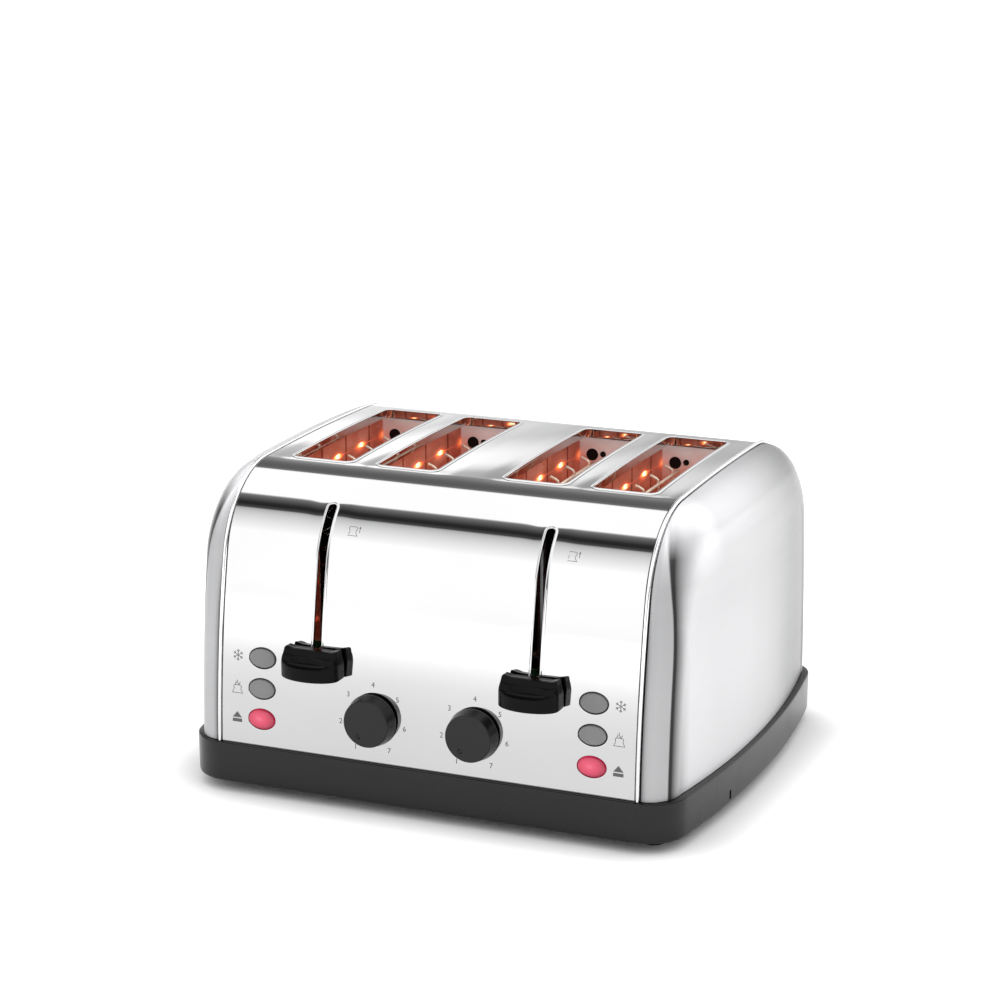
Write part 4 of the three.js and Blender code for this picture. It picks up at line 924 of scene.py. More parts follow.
@dataclass
class Bench:
    """Turns surfaces into finished objects that ride on the CAD bodies."""

    finishes: dict = field(default_factory=dict)

    @cached_property
    def shift(self) -> float:
        """How far the row frame lies behind the middle of the shell, in millimetres."""
        return float(np.mean([corner[1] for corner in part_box("wrap_panel")])) / MM

    def box_of(self, node: str) -> tuple[Array, Array]:
        """Both corners of a CAD node's box, in millimetres about the middle of the shell."""
        low, high = (np.array(corner) / MM - (0.0, self.shift, 0.0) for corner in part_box(node))
        return low, high

    def material_of(self, finish: Finish) -> Material:
        """The finish's material, made once."""
        if finish not in self.finishes:
            self.finishes[finish] = finish.material()
        return self.finishes[finish]

    def mesh_of(self, name: str, shape: Surface, crease: float) -> bpy.types.Mesh:
        """Writes a surface into a mesh in metres, with its known directions kept.

        Args:
            name: name of the mesh.
            shape: the surface in millimetres.
            crease: angle in degrees past which an edge stays sharp.

        Returns:
            The mesh.
        """
        mesh = bpy.data.meshes.new(name)
        mesh.vertices.add(len(shape.points))
        places = (shape.points + (0.0, self.shift, 0.0)) * MM
        mesh.vertices.foreach_set("co", places.astype(np.float32).ravel())
        mesh.loops.add(len(shape.corners))
        mesh.loops.foreach_set("vertex_index", shape.corners.astype(np.int32))
        mesh.polygons.add(len(shape.sizes))
        mesh.polygons.foreach_set("loop_start", shape.layout()[0].astype(np.int32))
        mesh.polygons.foreach_set("use_smooth", np.ones(len(shape.sizes), bool))
        mesh.update(calc_edges=True)
        if mesh.validate():
            log.warning("%s had faults in its mesh", name)
        mesh.set_sharp_from_angle(angle=math.radians(crease))
        known = np.isfinite(shape.facing).all(axis=1)
        if known.any() and len(mesh.loops) == len(known):
            own = np.empty(len(mesh.loops) * 3, np.float32)
            mesh.corner_normals.foreach_get("vector", own)
            facing = np.where(known[:, None], shape.facing, own.reshape(-1, 3))
            mesh.normals_split_custom_set(facing.tolist())
        return mesh

    def place(self, name: str, shape: Surface, finish: Finish, slot: Slot, stands_for: Sequence[str] = (),
              body: str = "housing", crease: float = 32.0, closed: bool = True,
              bevel: float = 0.0) -> bpy.types.Object:
        """Makes one piece: welded, faces outwards, dressed, and riding on its body.

        Args:
            name: name of the piece.
            shape: its surface in millimetres.
            finish: its look.
            slot: the record's slot; not used.
            stands_for: CAD nodes that it replaces.
            body: the CAD body that carries it.
            crease: angle past which an edge stays sharp, in degrees.
            closed: whether the surface encloses a volume.
            bevel: width of a bevel on the sharp edges, in millimetres.

        Returns:
            The object.
        """
        whole = shape.welded()
        if closed and whole.volume() < 0:
            whole = whole.flipped()
        piece = added(name, self.mesh_of(name, whole, crease))
        piece.data.materials.append(self.material_of(finish))
        if bevel:
            rounding = piece.modifiers.new("edges", "BEVEL")
            rounding.width, rounding.segments = bevel * MM, 2
            rounding.limit_method, rounding.angle_limit = "ANGLE", math.radians(crease)
            rounding.harden_normals = True
        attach(piece, body)
        if stands_for:
            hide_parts(*stands_for)
        log.info("%s: %d faces on %s", name, len(piece.data.polygons), body)
        return piece

    def dress(self, node: str, finish: Finish) -> None:
        """Gives a CAD node that stays a finish of its own."""
        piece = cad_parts[node]
        piece.data.materials.clear()
        piece.data.materials.append(self.material_of(finish))


@dataclass
class HalfPart:
    """A part that both halves have."""

    bench: Bench
    side: Side

    def own(self, name: str) -> str:
        """A name with the half's word in front, as the CAD nodes and bodies have it."""
        return f"{self.side.word}_{name}"


# ---------------------------------------------------------------- the polished panel


@dataclass(frozen=True)
class RoundedOpening:
    """Rectangle with round corners on the unrolled panel, in X and s."""

    x: float
    s: float
    half_x: float
    half_s: float
    radius: float
    corner_steps: int = 10
    steps_x: int = 8
    steps_s: int = 34

    def loop(self, offset: float) -> Array:
        """Outline moved outwards, anticlockwise: four quarter circles joined by straight runs."""
        reach = np.array([self.half_x, self.half_s]) - self.radius
        turn = np.linspace(0, np.pi / 2, self.corner_steps + 1) + np.arange(4)[:, None] * np.pi / 2
        towards = np.array([(1, 1), (-1, 1), (-1, -1), (1, -1)])[:, None]
        arcs = towards * reach + (self.radius + offset) * circle(turn)
        joined = []
        for corner, steps in enumerate([self.steps_x, self.steps_s] * 2):
            joined += [arcs[corner], np.linspace(arcs[corner, -1], arcs[(corner + 1) % 4, 0], steps + 1)[1:-1]]
        return np.concatenate(joined) + (self.x, self.s)


@dataclass(frozen=True)
class OvalOpening:
    """Ellipse on the unrolled panel, in X and s."""

    x: float
    s: float
    half_x: float
    half_s: float
    steps: int = 72

    def loop(self, offset: float) -> Array:
        """Outline moved outwards: half axes plus the offset, times cosine and sine."""
        return (self.x, self.s) + circle(full_turn(self.steps)) * (self.half_x + offset, self.half_s + offset)


def pierced(columns: Array, stations: Array, loops: Sequence[Array]) -> tuple[Array, Array]:
    """Triangles over a rectangle with holes, where no triangle crosses a station line or a hole's outline.

    Args:
        columns: places along X.
        stations: lengths s whose lines the triangles keep to.
        loops: closed outlines of the holes.

    Returns:
        Points as (x, s), and triangles that run anticlockwise.
    """
    grid = np.stack(np.meshgrid(columns, stations, indexing="ij"), axis=-1)
    number = np.arange(grid.shape[0] * grid.shape[1]).reshape(grid.shape[:2])
    edges = [np.stack([number[:-1], number[1:]], axis=-1).reshape(-1, 2)]
    edges += [np.stack([number[end, :-1], number[end, 1:]], axis=-1) for end in (0, -1)]
    places, count = [grid.reshape(-1, 2)], number.size
    for loop in loops:
        index = np.arange(len(loop))
        edges.append(np.stack([index, (index + 1) % len(loop)], axis=-1) + count)
        places.append(loop)
        count += len(loop)
    spots = [Vector(place) for place in np.concatenate(places)]
    found, _, faces, *_ = delaunay_2d_cdt(spots, np.concatenate(edges).tolist(), [], 0, 1e-5, False)
    flat = np.array([tuple(spot) for spot in found])
    triangles = np.array([face for face in faces if len(face) == 3])
    corners = flat[triangles]
    first, second = corners[:, 1] - corners[:, 0], corners[:, 2] - corners[:, 0]
    turning = first[:, 0] * second[:, 1] - first[:, 1] * second[:, 0]
    triangles = np.where((turning < 0)[:, None], triangles[:, ::-1], triangles)
    middles = corners.mean(axis=1)
    open_here = np.abs(turning) < 1e-7
    for loop in loops:
        open_here |= enclosed(loop, middles)
    return flat, triangles[~open_here]


def enclosed(loop: Array, places: Array) -> Array:
    """Whether each place lies inside a loop: an odd number of the loop's edges lie to its right."""
    inside = np.zeros(len(places), bool)
    near = np.flatnonzero(np.all((places > loop.min(axis=0)) & (places < loop.max(axis=0)), axis=1))
    x, s = places[near].T[:, :, None]
    (x0, s0), (x1, s1) = loop.T[:, None, :], np.roll(loop, -1, axis=0).T[:, None, :]
    crosses = (s0 > s) != (s1 > s)
    rise = np.where(s1 == s0, 1.0, s1 - s0)
    inside[near] = (crosses & (x < (x1 - x0) * (s - s0) / rise + x0)).sum(axis=1) % 2 == 1
    return inside


def bell(x: Array, s: Array, centre: tuple[float, float], half: tuple[float, float], width: float) -> Array:
    """A swell round a rectangle on both halves of the panel: e to the minus square of the distance over the width.

    Args:
        x: places along X.
        s: lengths along the arch.
        centre: middle of the rectangle, in X and s.
        half: half its sizes.
        width: how far the swell reaches.

    Returns:
        The share, 1 inside the rectangle.
    """
    aside = np.maximum(np.abs(np.abs(x) - centre[0]) - half[0], 0)
    along = np.maximum(np.abs(s - centre[1]) - half[1], 0)
    return np.exp(-(aside ** 2 + along ** 2) / width ** 2)


@dataclass
class WrapPanel:
    """Polished sheet over the front, the top and the back, with pressed rims round its slots."""

    bench: Bench
    half_width: float = 129.9
    sheet: float = 1.2
    slot_centres: tuple[float, float] = (40.7, 95.8)
    slot_half_width: float = 19.0
    slot_half_length: float = 67.2
    slot_radius: float = 5.0
    lever_x: float = 68.25
    lever_columns: tuple[float, ...] = (6.5, 9.0, 11.5, 14.5, 18.0)
    least_column: float = 0.9
    lever_slot_half: float = 2.5
    lever_round: float = 0.96
    lever_slot_foot: float = 84.5
    lever_slot_top: float = 175.2
    button_x: float = 103.9
    button_zs: tuple[float, float, float] = (84.6, 66.15, 47.7)
    button_half: tuple[float, float] = (8.75, 6.25)
    dial_x: float = 32.0
    dial_z: float = 57.2
    shaft_hole: float = 3.5

    bread_rim = ((2.7, 0), (2.3, .02), (2.0, .09), (1.72, .24), (1.5, .43), (1.28, .61), (1.05, .73), (.8, .79),
                 (.55, .78), (.33, .69), (.15, .53), (.04, .3), (0, .05), (0, -1.2), (0, -3), (0, -4.6),
                 (.1, -4.9), (.38, -5.0), (.62, -4.9), (.72, -4.6), (.72, -2.6), (.9, -1.8), (1.3, -1.35),
                 (1.9, -1.2))
    lever_rim = ((1.9, 0), (1.6, .03), (1.38, .13), (1.18, .3), (1.0, .47), (.82, .6), (.64, .67), (.46, .67),
                 (.3, .6), (.16, .46), (.05, .26), (0, .02), (0, -.6), (.03, -1.0), (.15, -1.26), (.4, -1.36),
                 (.8, -1.29), (1.3, -1.2))
    button_rim = ((.75, 0), (.5, -.03), (.3, -.1), (.14, -.24), (.04, -.45), (0, -.75), (0, -1.2))
    lever_swell: float = 0.5
    lever_swell_width: float = 7.5
    bread_dip: float = 0.28
    bread_dip_width: float = 8.0

    @cached_property
    def lever_run(self) -> tuple[float, float]:
        """Middle and half length of the lever slots along the arch."""
        low, high = (float(ARCH.front_at(z)) for z in (self.lever_slot_foot, self.lever_slot_top))
        return (low + high) / 2, (high - low) / 2

    def rise(self, x: Array, s: Array) -> Array:
        """Height of the pressed sheet over the arch: above 0 along the lever slots, below 0 round the bread slots."""
        middle, half = self.lever_run
        height = self.lever_swell * bell(x, s, (self.lever_x, middle), (self.lever_slot_half, half),
                                         self.lever_swell_width)
        for centre in self.slot_centres:
            height -= self.bread_dip * bell(x, s, (centre, 0.0), (self.slot_half_width, self.slot_half_length),
                                            self.bread_dip_width)
        return height

    def sheet_at(self, x: Array, s: Array, above: Array | float = 0.0) -> Array:
        """Points over the pressed sheet."""
        return ARCH.place(x, s, -(self.rise(x, s) + above))

    def sheet_facing(self, x: Array, s: Array, step: float = 0.05) -> Array:
        """Outward directions of the pressed sheet, from its slopes over a small step along X and along s."""
        along_x = self.sheet_at(x + step, s) - self.sheet_at(x - step, s)
        along_s = self.sheet_at(x, s + step) - self.sheet_at(x, s - step)
        return unit(np.cross(along_x, along_s))

    def openings(self) -> list[tuple[RoundedOpening | OvalOpening, Array]]:
        """Every opening with the profile of its rim."""
        middle, half = self.lever_run
        bread = (0.0, self.slot_half_width, self.slot_half_length, self.slot_radius)
        lever = (middle, self.lever_slot_half, half, self.lever_slot_half * self.lever_round, 12, 2, 84)
        ovals = [(self.button_x, z, *self.button_half) for z in self.button_zs]
        ovals.append((self.dial_x, self.dial_z, self.shaft_hole, self.shaft_hole, 32))
        found = []
        for sign in (-1, 1):
            found += [(RoundedOpening(sign * x, *bread), self.bread_rim) for x in self.slot_centres]
            found.append((RoundedOpening(sign * self.lever_x, *lever), self.lever_rim))
            found += [(OvalOpening(sign * x, float(ARCH.front_at(z)), *size), self.button_rim)
                      for x, z, *size in ovals]
        return [(opening, np.array(profile)) for opening, profile in found]

    def rim(self, opening: RoundedOpening | OvalOpening, profile: Array) -> Surface:
        """Rim of an opening: its outline moved by each offset of the profile and raised by each height."""
        loops = np.stack([opening.loop(offset) for offset, _ in profile], axis=1)
        points = self.sheet_at(loops[..., 0], loops[..., 1], profile[None, :, 1])
        facing = grid_facing(points, round_u=True)
        facing[:, 0] = self.sheet_facing(loops[:, 0, 0], loops[:, 0, 1])
        return Surface.of_grid(points, facing, round_u=True)

    def skin(self, columns: Array, stations: Array, openings: Sequence, outer: bool) -> Surface:
        """Outer or inner face of the sheet, open where the rims start or end."""
        end = 0 if outer else -1
        loops = [opening.loop(profile[end][0]) for opening, profile in openings]
        flat, triangles = pierced(columns, stations, loops)
        points = self.sheet_at(flat[:, 0], flat[:, 1], 0.0 if outer else -self.sheet)
        shape = Surface.of_faces(points, triangles, self.sheet_facing(flat[:, 0], flat[:, 1]))
        return shape if outer else shape.flipped()

    def edges(self, columns: Array, stations: Array) -> list[Surface]:
        """Narrow faces round the sheet, between its outer and its inner face."""
        strips = []
        for sign in (-1, 1):
            insets = np.array([0.0, -self.sheet])[::-sign]
            strips.append(self.sheet_at(sign * self.half_width, stations[:, None], insets))
            strips.append(self.sheet_at(columns[:, None], -sign * ARCH.length, insets))
        return [Surface.of_grid(strip) for strip in strips]

    def build(self) -> None:
        """Makes the panel."""
        offsets = np.array(self.lever_columns)
        near = self.lever_x + np.concatenate([-offsets, offsets])
        even = np.linspace(-self.half_width, self.half_width, 41)
        columns = np.unique(np.concatenate([even, near, -near]).round(3))
        columns = columns[np.append(np.diff(columns) > self.least_column, True)]
        stations = ARCH.stations(18, 48, 46)
        openings = self.openings()
        parts = [self.skin(columns, stations, openings, True), self.skin(columns, stations, openings, False)]
        parts += [self.rim(opening, profile) for opening, profile in openings]
        parts += self.edges(columns, stations)
        self.bench.place("polished_panel", Surface.joined(parts), PANEL_STEEL, Slot.PANEL, ["wrap_panel"])


# ---------------------------------------------------------------- the end covers


@dataclass
class EndCover(HalfPart):
    """Brushed cover of one end: a tongue under the panel, a bright bead, a round corner and a bowed face."""

    panel_half_width: float = WrapPanel.half_width
    half_width: float = 160.0
    side_radius: float = 700.0
    bulge: float = 30.1
    front_share: float = 0.66
    top_share: float = 1.2
    blend_angle: float = math.radians(34)
    drop: float = 0.6
    sheet: float = 1.5
    bead_radius: float = 1.15
    bead_gap: float = 0.6
    groove: float = 0.95
    groove_width: float = 0.8
    lining: float = 3.0
    spine_z: float = 103.2
    round_steps: int = 30
    face_steps: int = 18

    tongue_rows = ((-4.0, 0), (-1.4, 0), (1.3, 0))
    lip_rows = ((-0.6, 0), (-0.22, 0.08), (-0.1, 0.3), (-0.05, 0.65))

    def side_x(self, y: Array) -> Array:
        """X of the bowed end: an upright cylinder about a line far inside."""
        return self.half_width - self.side_radius + np.sqrt(self.side_radius ** 2 - y ** 2)

    def corner_radius(self, s: Array) -> Array:
        """Radius of the corner, small along the front wall and growing over the bend to the top."""
        foot = ARCH.foot_angle()
        share = smooth((foot - ARCH.tilt(s)) / (foot - self.blend_angle), 0, 1)
        return self.bulge * (self.front_share + (self.top_share - self.front_share) * share)

    def corner(self, s: Array, inward: float, start_x: float) -> Array:
        """Corner from beside the bead to the end face: X is the end's X less w(1 - sin a), the inset h(1 - cos a).

        Args:
            s: stations, (n,).
            inward: how far the face lies inside the outer one.
            start_x: X of its first point.

        Returns:
            Points (steps, n, 3).
        """
        angle = np.linspace(0, np.pi / 2, self.round_steps + 1)[:, None]
        radius = self.corner_radius(s)
        side_x = self.side_x(ARCH.place(0.0, s, self.drop + radius)[:, 1]) - inward
        x = side_x - (side_x - start_x) * (1 - np.sin(angle))
        return ARCH.place(x, s, self.drop + inward + (radius - inward) * (1 - np.cos(angle)))

    def face(self, rim: Array, inward: float) -> tuple[Array, Array]:
        """Bowed end face: each point of the rim runs level or down to the upright middle line, on the cylinder."""
        share = np.linspace(0, 1, self.face_steps + 1)[1:, None]
        y = rim[:, 1] * (1 - share)
        z = rim[:, 2] + (np.minimum(rim[:, 2], self.spine_z) - rim[:, 2]) * share
        sine = y / self.side_radius
        facing = np.stack([np.sqrt(1 - sine ** 2), sine, 0 * sine], axis=-1)
        return np.stack([self.side_x(y) - inward, y, z], axis=-1), facing

    def shell(self) -> Surface:
        """The cover as a closed wall between its outer and its inner face."""
        s = ARCH.stations(16, 44, 40)
        start_x = self.panel_half_width + self.bead_gap + 2 * self.bead_radius + self.groove_width
        rows = [(self.panel_half_width + x, rise) for x, rise in self.tongue_rows]
        x, rise = np.array(rows + [(start_x + x, rise) for x, rise in self.lip_rows]).T[:, :, None]
        tongue = ARCH.place(x, s, self.drop + self.groove * (1 - rise))
        round_part = self.corner(s, 0.0, start_x)
        face_part, face_facing = self.face(round_part[-1], 0.0)
        outer = np.concatenate([tongue, round_part, face_part])
        facing = np.concatenate([np.full(tongue.shape, np.nan), grid_facing(round_part), face_facing])
        inner_round = self.corner(s, self.sheet, start_x)
        inner_face, _ = self.face(inner_round[-1], self.sheet)
        lead = ARCH.place(x[0], s, self.lining)
        step = ARCH.place(start_x - 0.5, s, self.lining)
        inner = np.concatenate([np.stack([lead] + [step] * (len(tongue) - 1)), inner_round, inner_face])
        strips = [np.stack([inner[0], outer[0]]), np.stack([outer[:, 0], inner[:, 0]], axis=1),
                  np.stack([inner[:, -1], outer[:, -1]], axis=1)]
        return Surface.joined([Surface.of_grid(outer, facing), Surface.of_grid(inner).flipped(),
                               *(Surface.of_grid(strip) for strip in strips)])

    def bead(self) -> Surface:
        """Rolled bead: a circle about the outer face's edge line, carried along the arch."""
        s = ARCH.stations(14, 44, 30)[:, None]
        x, up = self.bead_radius * circle(full_turn(24)).T
        middle = self.panel_half_width + self.bead_gap + self.bead_radius
        return Surface.of_bar(ARCH.place(middle + x, s, -up))

    def build(self) -> None:
        """Makes the cover and its bead."""
        for name, shape, finish in (("brushed_cover", self.shell(), COVER_STEEL),
                                    ("cover_bead", self.bead(), BEAD_STEEL)):
            self.bench.place(self.own(name), shape.on(self.side), finish, Slot.COVER, [self.own("end_cover")])


# ---------------------------------------------------------------- the base and its feet


@dataclass
class Plinth:
    """Black base: a pan with a ledge for the shell, slots for the crumb trays, and four feet."""

    bench: Bench
    half_depth: float = 140.0
    half_width: float = 163.6
    corner_radius: float = 26.0
    side_radius: float = 800.0
    tray_x: tuple[float, float] = (13.5, 122.8)
    tray_z: tuple[float, float] = (8.9, 15.6)
    gland_z: float = 18.8
    gland_radius: float = 5.8
    gland_y: float = 135.0
    gland_depth: float = 8.0
    cut_y: tuple[float, float] = (135.5, 142.0)
    notch_y: float = -59.0
    notch_half: tuple[float, float] = (1.8, 1.25)
    notch_z: tuple[float, float] = (9.6, 15.1)
    foot_x: float = 133.6
    foot_y: float = 115.0

    wall = ((2.6, 6.8), (1.6, 6.85), (.95, 7.1), (.55, 7.6), (.38, 8.4), (.3, 10), (.08, 29.9), (.12, 30.4),
            (.35, 30.8), (.8, 31.0), (7.5, 31.0), (7.85, 30.85), (8.0, 30.5), (8.0, 28.9), (7.6, 28.5),
            (3.2, 28.5), (3.0, 28.0), (3.0, 8.8))
    foot = ((0, 0.35), (5.2, 0.35), (5.6, 0), (6.6, 0), (6.9, .1), (7.0, .4), (7.05, 2.0), (7.5, 2.3), (8.35, 5.6),
            (8.45, 6.3), (8.3, 6.5), (0, 6.5))

    def outline(self, inset: float) -> Array:
        """Plan moved inwards, anticlockwise: straight front and back, round corners and bowed ends."""
        side_x = self.half_width - self.side_radius
        corner_y = self.half_depth - self.corner_radius
        corner_x = side_x + math.sqrt((self.side_radius - self.corner_radius) ** 2 - corner_y ** 2)
        side_angle = math.atan2(corner_y, corner_x - side_x)
        turn = np.linspace(side_angle, np.pi / 2, 19)
        bow = np.linspace(-side_angle, side_angle, 41)[1:-1]
        corner = (corner_x, corner_y) + (self.corner_radius - inset) * circle(turn)
        end = (side_x, 0.0) + (self.side_radius - inset) * circle(bow)
        right = np.concatenate([corner[::-1] * (1, -1), end, corner])
        return np.concatenate([right, -right])

    def pan(self) -> Surface:
        """The pan: a profile of insets and heights carried round the plan, with a flat face below and inside."""
        rows = [at_height(self.outline(inset), z) for inset, z in self.wall]
        wall = Surface.of_grid(np.stack(rows, axis=1), round_u=True)
        return Surface.joined([wall, Surface.of_ring(rows[0][::-1]), Surface.of_ring(rows[-1])])

    def cutters(self) -> Surface:
        """Blocks and a bar where the base is open: both tray slots, the gland's hole and the notch in each end."""
        (y0, y1), (z0, z1), (notch_z0, notch_z1) = self.cut_y, self.tray_z, self.notch_z
        cover_x = self.half_width - self.side_radius + math.sqrt(self.side_radius ** 2 - self.notch_y ** 2)
        half_x, half_y = self.notch_half
        radius, depth = self.gland_radius, self.gland_depth
        bar = turned([(0, 0), (radius, 0), (radius, depth), (0, depth)], 40)
        cuts = [laid_along_y(bar).moved(0, self.gland_y, self.gland_z)]
        for sign in (-1, 1):
            x0, x1 = sorted(sign * x for x in self.tray_x)
            cuts.append(slab((x0, y0, z0), (x1, y1, z1)))
            cuts.append(slab((sign * cover_x - half_x, self.notch_y - half_y, notch_z0),
                             (sign * cover_x + half_x, self.notch_y + half_y, notch_z1)))
        return Surface.joined(cuts)

    def build(self) -> None:
        """Makes the base with its openings cut, and the feet."""
        piece = self.bench.place("black_base", self.pan(), BASE_PLASTIC, Slot.BASE, ["base"])
        tool = added("base_cutter", self.bench.mesh_of("base_cutter", self.cutters().welded(), 30))
        cut = piece.modifiers.new("openings", "BOOLEAN")
        cut.object, cut.operation, cut.solver = tool, "DIFFERENCE", "EXACT"
        done = applied(piece)
        piece.modifiers.clear()
        piece.data = done
        piece.data.set_sharp_from_angle(angle=math.radians(32))
        bpy.data.objects.remove(tool)
        for end, y in (("front", -self.foot_y), ("rear", self.foot_y)):
            for side in Side:
                node = f"foot_{end}_{side.word}"
                self.bench.place(f"rubber_{node}", turned(self.foot, 48).moved(side.value * self.foot_x, y),
                                 FOOT_RUBBER, Slot.FOOT, [node])


# ---------------------------------------------------------------- the controls


@dataclass
class LeverKnob(HalfPart):
    """Lever knob: D-shaped in plan, with a thumb dish in front of two grip ridges and a narrowing block."""

    x: float = WrapPanel.lever_x
    half_width: float = 18.2
    depth: float = 17.6
    straight: float = 7.5
    corner: float = 0.9
    foot_z: float = 80.0
    rounding: float = 0.75
    block_height: float = 9.3
    risers: tuple[tuple[float, float, float], ...] = ((3.3, 10.2, 11.4), (3.6, 7.5, 8.7))
    ridges: tuple[tuple[float, float, float], ...] = ((0.3, 9.5, 0.7), (0.25, 5.6, 1.4))
    ear_height: float = 0.9
    ear_x: tuple[float, float] = (12.5, 18.0)
    ear_t: tuple[float, float] = (9.5, 17.0)
    dish_t: float = 14.2
    dish_half: tuple[float, float] = (15.6, 5.2)
    dish_brim: float = 10.9
    dish_depth: float = 3.6
    dish_blend: float = 0.6
    middle_t: float = 3.4
    inside_t: float = 8.0
    narrowing: float = 0.085
    narrow_z: tuple[float, float] = (88.5, 96.5)

    def outline(self) -> Array:
        """Plan as (x, distance from the back), anticlockwise from above: half an ellipse on straight flanks."""
        wide, corner = self.half_width, self.corner
        nose, turn = np.linspace(-np.pi / 2, 0, 44), np.linspace(0, np.pi / 2, 6)[1:]
        right = np.concatenate([circle(nose) * (wide, self.straight - self.depth) + (0, self.straight),
                                np.linspace((wide, self.straight), (wide, corner), 13)[1:],
                                circle(turn) * (corner, -corner) + (wide - corner, corner),
                                np.linspace((wide - corner, 0), (0, 0), 20)[1:]])
        return np.concatenate([right, (right * (-1, 1))[::-1][1:-1]])

    def top(self, x: Array, t: Array) -> Array:
        """Height of the top at x and t, where t is the distance from the back.

        Soft risers climb towards the back with a ridge on each, and an ear stands at each end of the thumb dish.
        The dish is the hollow of an ellipsoid, and a parabola blends its edge into the block.
        """
        steps = sum(rise * smooth(-t, -front, -back) for rise, back, front in self.risers)
        crest = sum(rise * np.exp(-((t - middle) / width) ** 2) for rise, middle, width in self.ridges)
        ears = self.ear_height * smooth(np.abs(x), *self.ear_x) * smooth(-t, -self.ear_t[1], -self.ear_t[0])
        solid = self.foot_z + self.block_height + steps + crest + ears
        reach = (x / self.dish_half[0]) ** 2 + ((t - self.dish_t) / self.dish_half[1]) ** 2
        dish = self.foot_z + self.dish_brim - self.dish_depth * np.sqrt(np.clip(1 - reach, 0, None))
        gap, blend = np.where(reach < 1, dish - solid, np.inf), self.dish_blend
        sunk = np.where(gap < -blend, gap, -((gap - blend) ** 2) / (4 * blend))
        return solid + np.where(gap < blend, sunk, 0.0)

    def shape(self) -> Surface:
        """The knob about its middle plane: rings over the bottom, up the wall, over the edge and to the middle."""
        loop = self.outline()
        along = unit(np.roll(loop, -1, axis=0) - np.roll(loop, 1, axis=0))
        outward = np.stack([-along[:, 1], along[:, 0]], axis=-1)
        outward = np.where(np.sum(outward * (loop - (0, self.inside_t)), axis=1)[:, None] > 0, outward, -outward)
        middle, edge, start = np.array([0.0, self.middle_t]), self.rounding, self.foot_z + self.rounding
        inner = loop - outward * edge
        quarter = np.linspace(0, np.pi / 2, 5)[1:]
        rows = [(middle + (inner - middle) * share, self.foot_z) for share in (0.0, 0.5, 1.0)]
        rows += [(loop - outward * edge * (1 - math.sin(a)), start - edge * math.cos(a)) for a in quarter]
        brim = self.top(*inner.T) - edge
        rows += [(loop, start + (brim - start) * share) for share in np.linspace(0, 1, 9)[1:]]
        for angle in np.linspace(0, np.pi / 2, 6)[1:]:
            ring = loop - outward * edge * (1 - math.cos(angle))
            rows.append((ring, self.top(*ring.T) - edge * (1 - math.sin(angle))))
        for share in np.linspace(1, 0, 46)[1:]:
            ring = middle + (inner - middle) * share
            rows.append((ring, self.top(*ring.T)))
        points = np.stack([at_height(*row) for row in rows], axis=1)
        points[..., 0] *= 1 - self.narrowing * smooth(points[..., 2], *self.narrow_z)
        points[..., 1] *= -1
        return Surface.of_grid(points, round_u=True)

    def build(self) -> None:
        """Makes the knob, with its back where the CAD knob's back is."""
        node = self.own("lever_knob")
        shape = self.shape().moved(self.side.value * self.x, self.bench.box_of(node)[1][1])
        self.bench.place(self.own("lever_grip"), shape, LEVER_PLASTIC, Slot.LEVER, [node], self.own("carriage"),
                         crease=50)


@dataclass
class BrowningDial(HalfPart):
    """Dial knob: a tapered barrel with a round edge and a dimple that points to the first number."""

    x: float = WrapPanel.dial_x
    z: float = WrapPanel.dial_z
    radius: float = 15.7
    face_radius: float = 14.2
    edge: float = 1.0
    dimple_radius: float = 1.75
    dimple_offset: float = 9.3
    dimple_depth: float = 0.9
    mark_angle: float = math.radians(239)

    brim = ((-0.06, -0.3), (-0.15, -0.1), (-0.4, 0), (-1.9, 0), (-2.1, -0.4), (-2.2, -5.5))
    hub = ((5.6, -5.5), (5.5, -0.4), (5.2, 0), (3.4, 0), (3.3, -0.4), (3.3, -5.5), (0, -5.5))

    def shape(self, depth: float) -> Surface:
        """The knob along its axis: a face with the dimple, a quarter circle edge, a cone and a hollow back.

        Args:
            depth: length of the barrel.

        Returns:
            The surface, with its face at height 0 and its back at the depth.
        """
        inner = self.face_radius - self.edge
        rows = [(r, 0.0) for r in np.linspace(0, inner, 60)]
        quarter = np.linspace(0, np.pi / 2, 8)[1:]
        rows += [(inner + self.edge * math.sin(a), self.edge * (1 - math.cos(a))) for a in quarter]
        slope = (self.radius - self.face_radius) / (depth - self.edge)
        end = (self.face_radius + slope * (depth - 0.5 - self.edge), depth - 0.5)
        rows += np.linspace((self.face_radius, self.edge), end, 14)[1:-1].tolist()
        rows += [(self.radius + r, depth + h) for r, h in self.brim] + [(r, depth + h) for r, h in self.hub]
        shape = turned(rows, 200)
        x, z, height = shape.points.T
        spot = self.dimple_offset * circle(self.mark_angle)
        away = np.hypot(x - spot[0], z - spot[1])
        dip = self.dimple_depth * (1 - smooth(away, self.dimple_radius * 0.55, self.dimple_radius))
        shape.points[:, 2] += np.where(height < 1e-6, dip, 0.0)
        return laid_along_y(shape)

    def build(self) -> None:
        """Makes the knob between the front and the back of the CAD knob."""
        node = self.own("dial_knob")
        low, high = self.bench.box_of(node)
        shape = self.shape(high[1] - low[1]).moved(self.side.value * self.x, low[1], self.z)
        self.bench.place(self.own("dial_barrel"), shape, DIAL_PLASTIC, Slot.DIAL, [node], self.own("dial"), crease=40)


class Task(Enum):
    """The three buttons of a half, with their row from the top."""

    DEFROST = 0
    REHEAT = 1
    CANCEL = 2


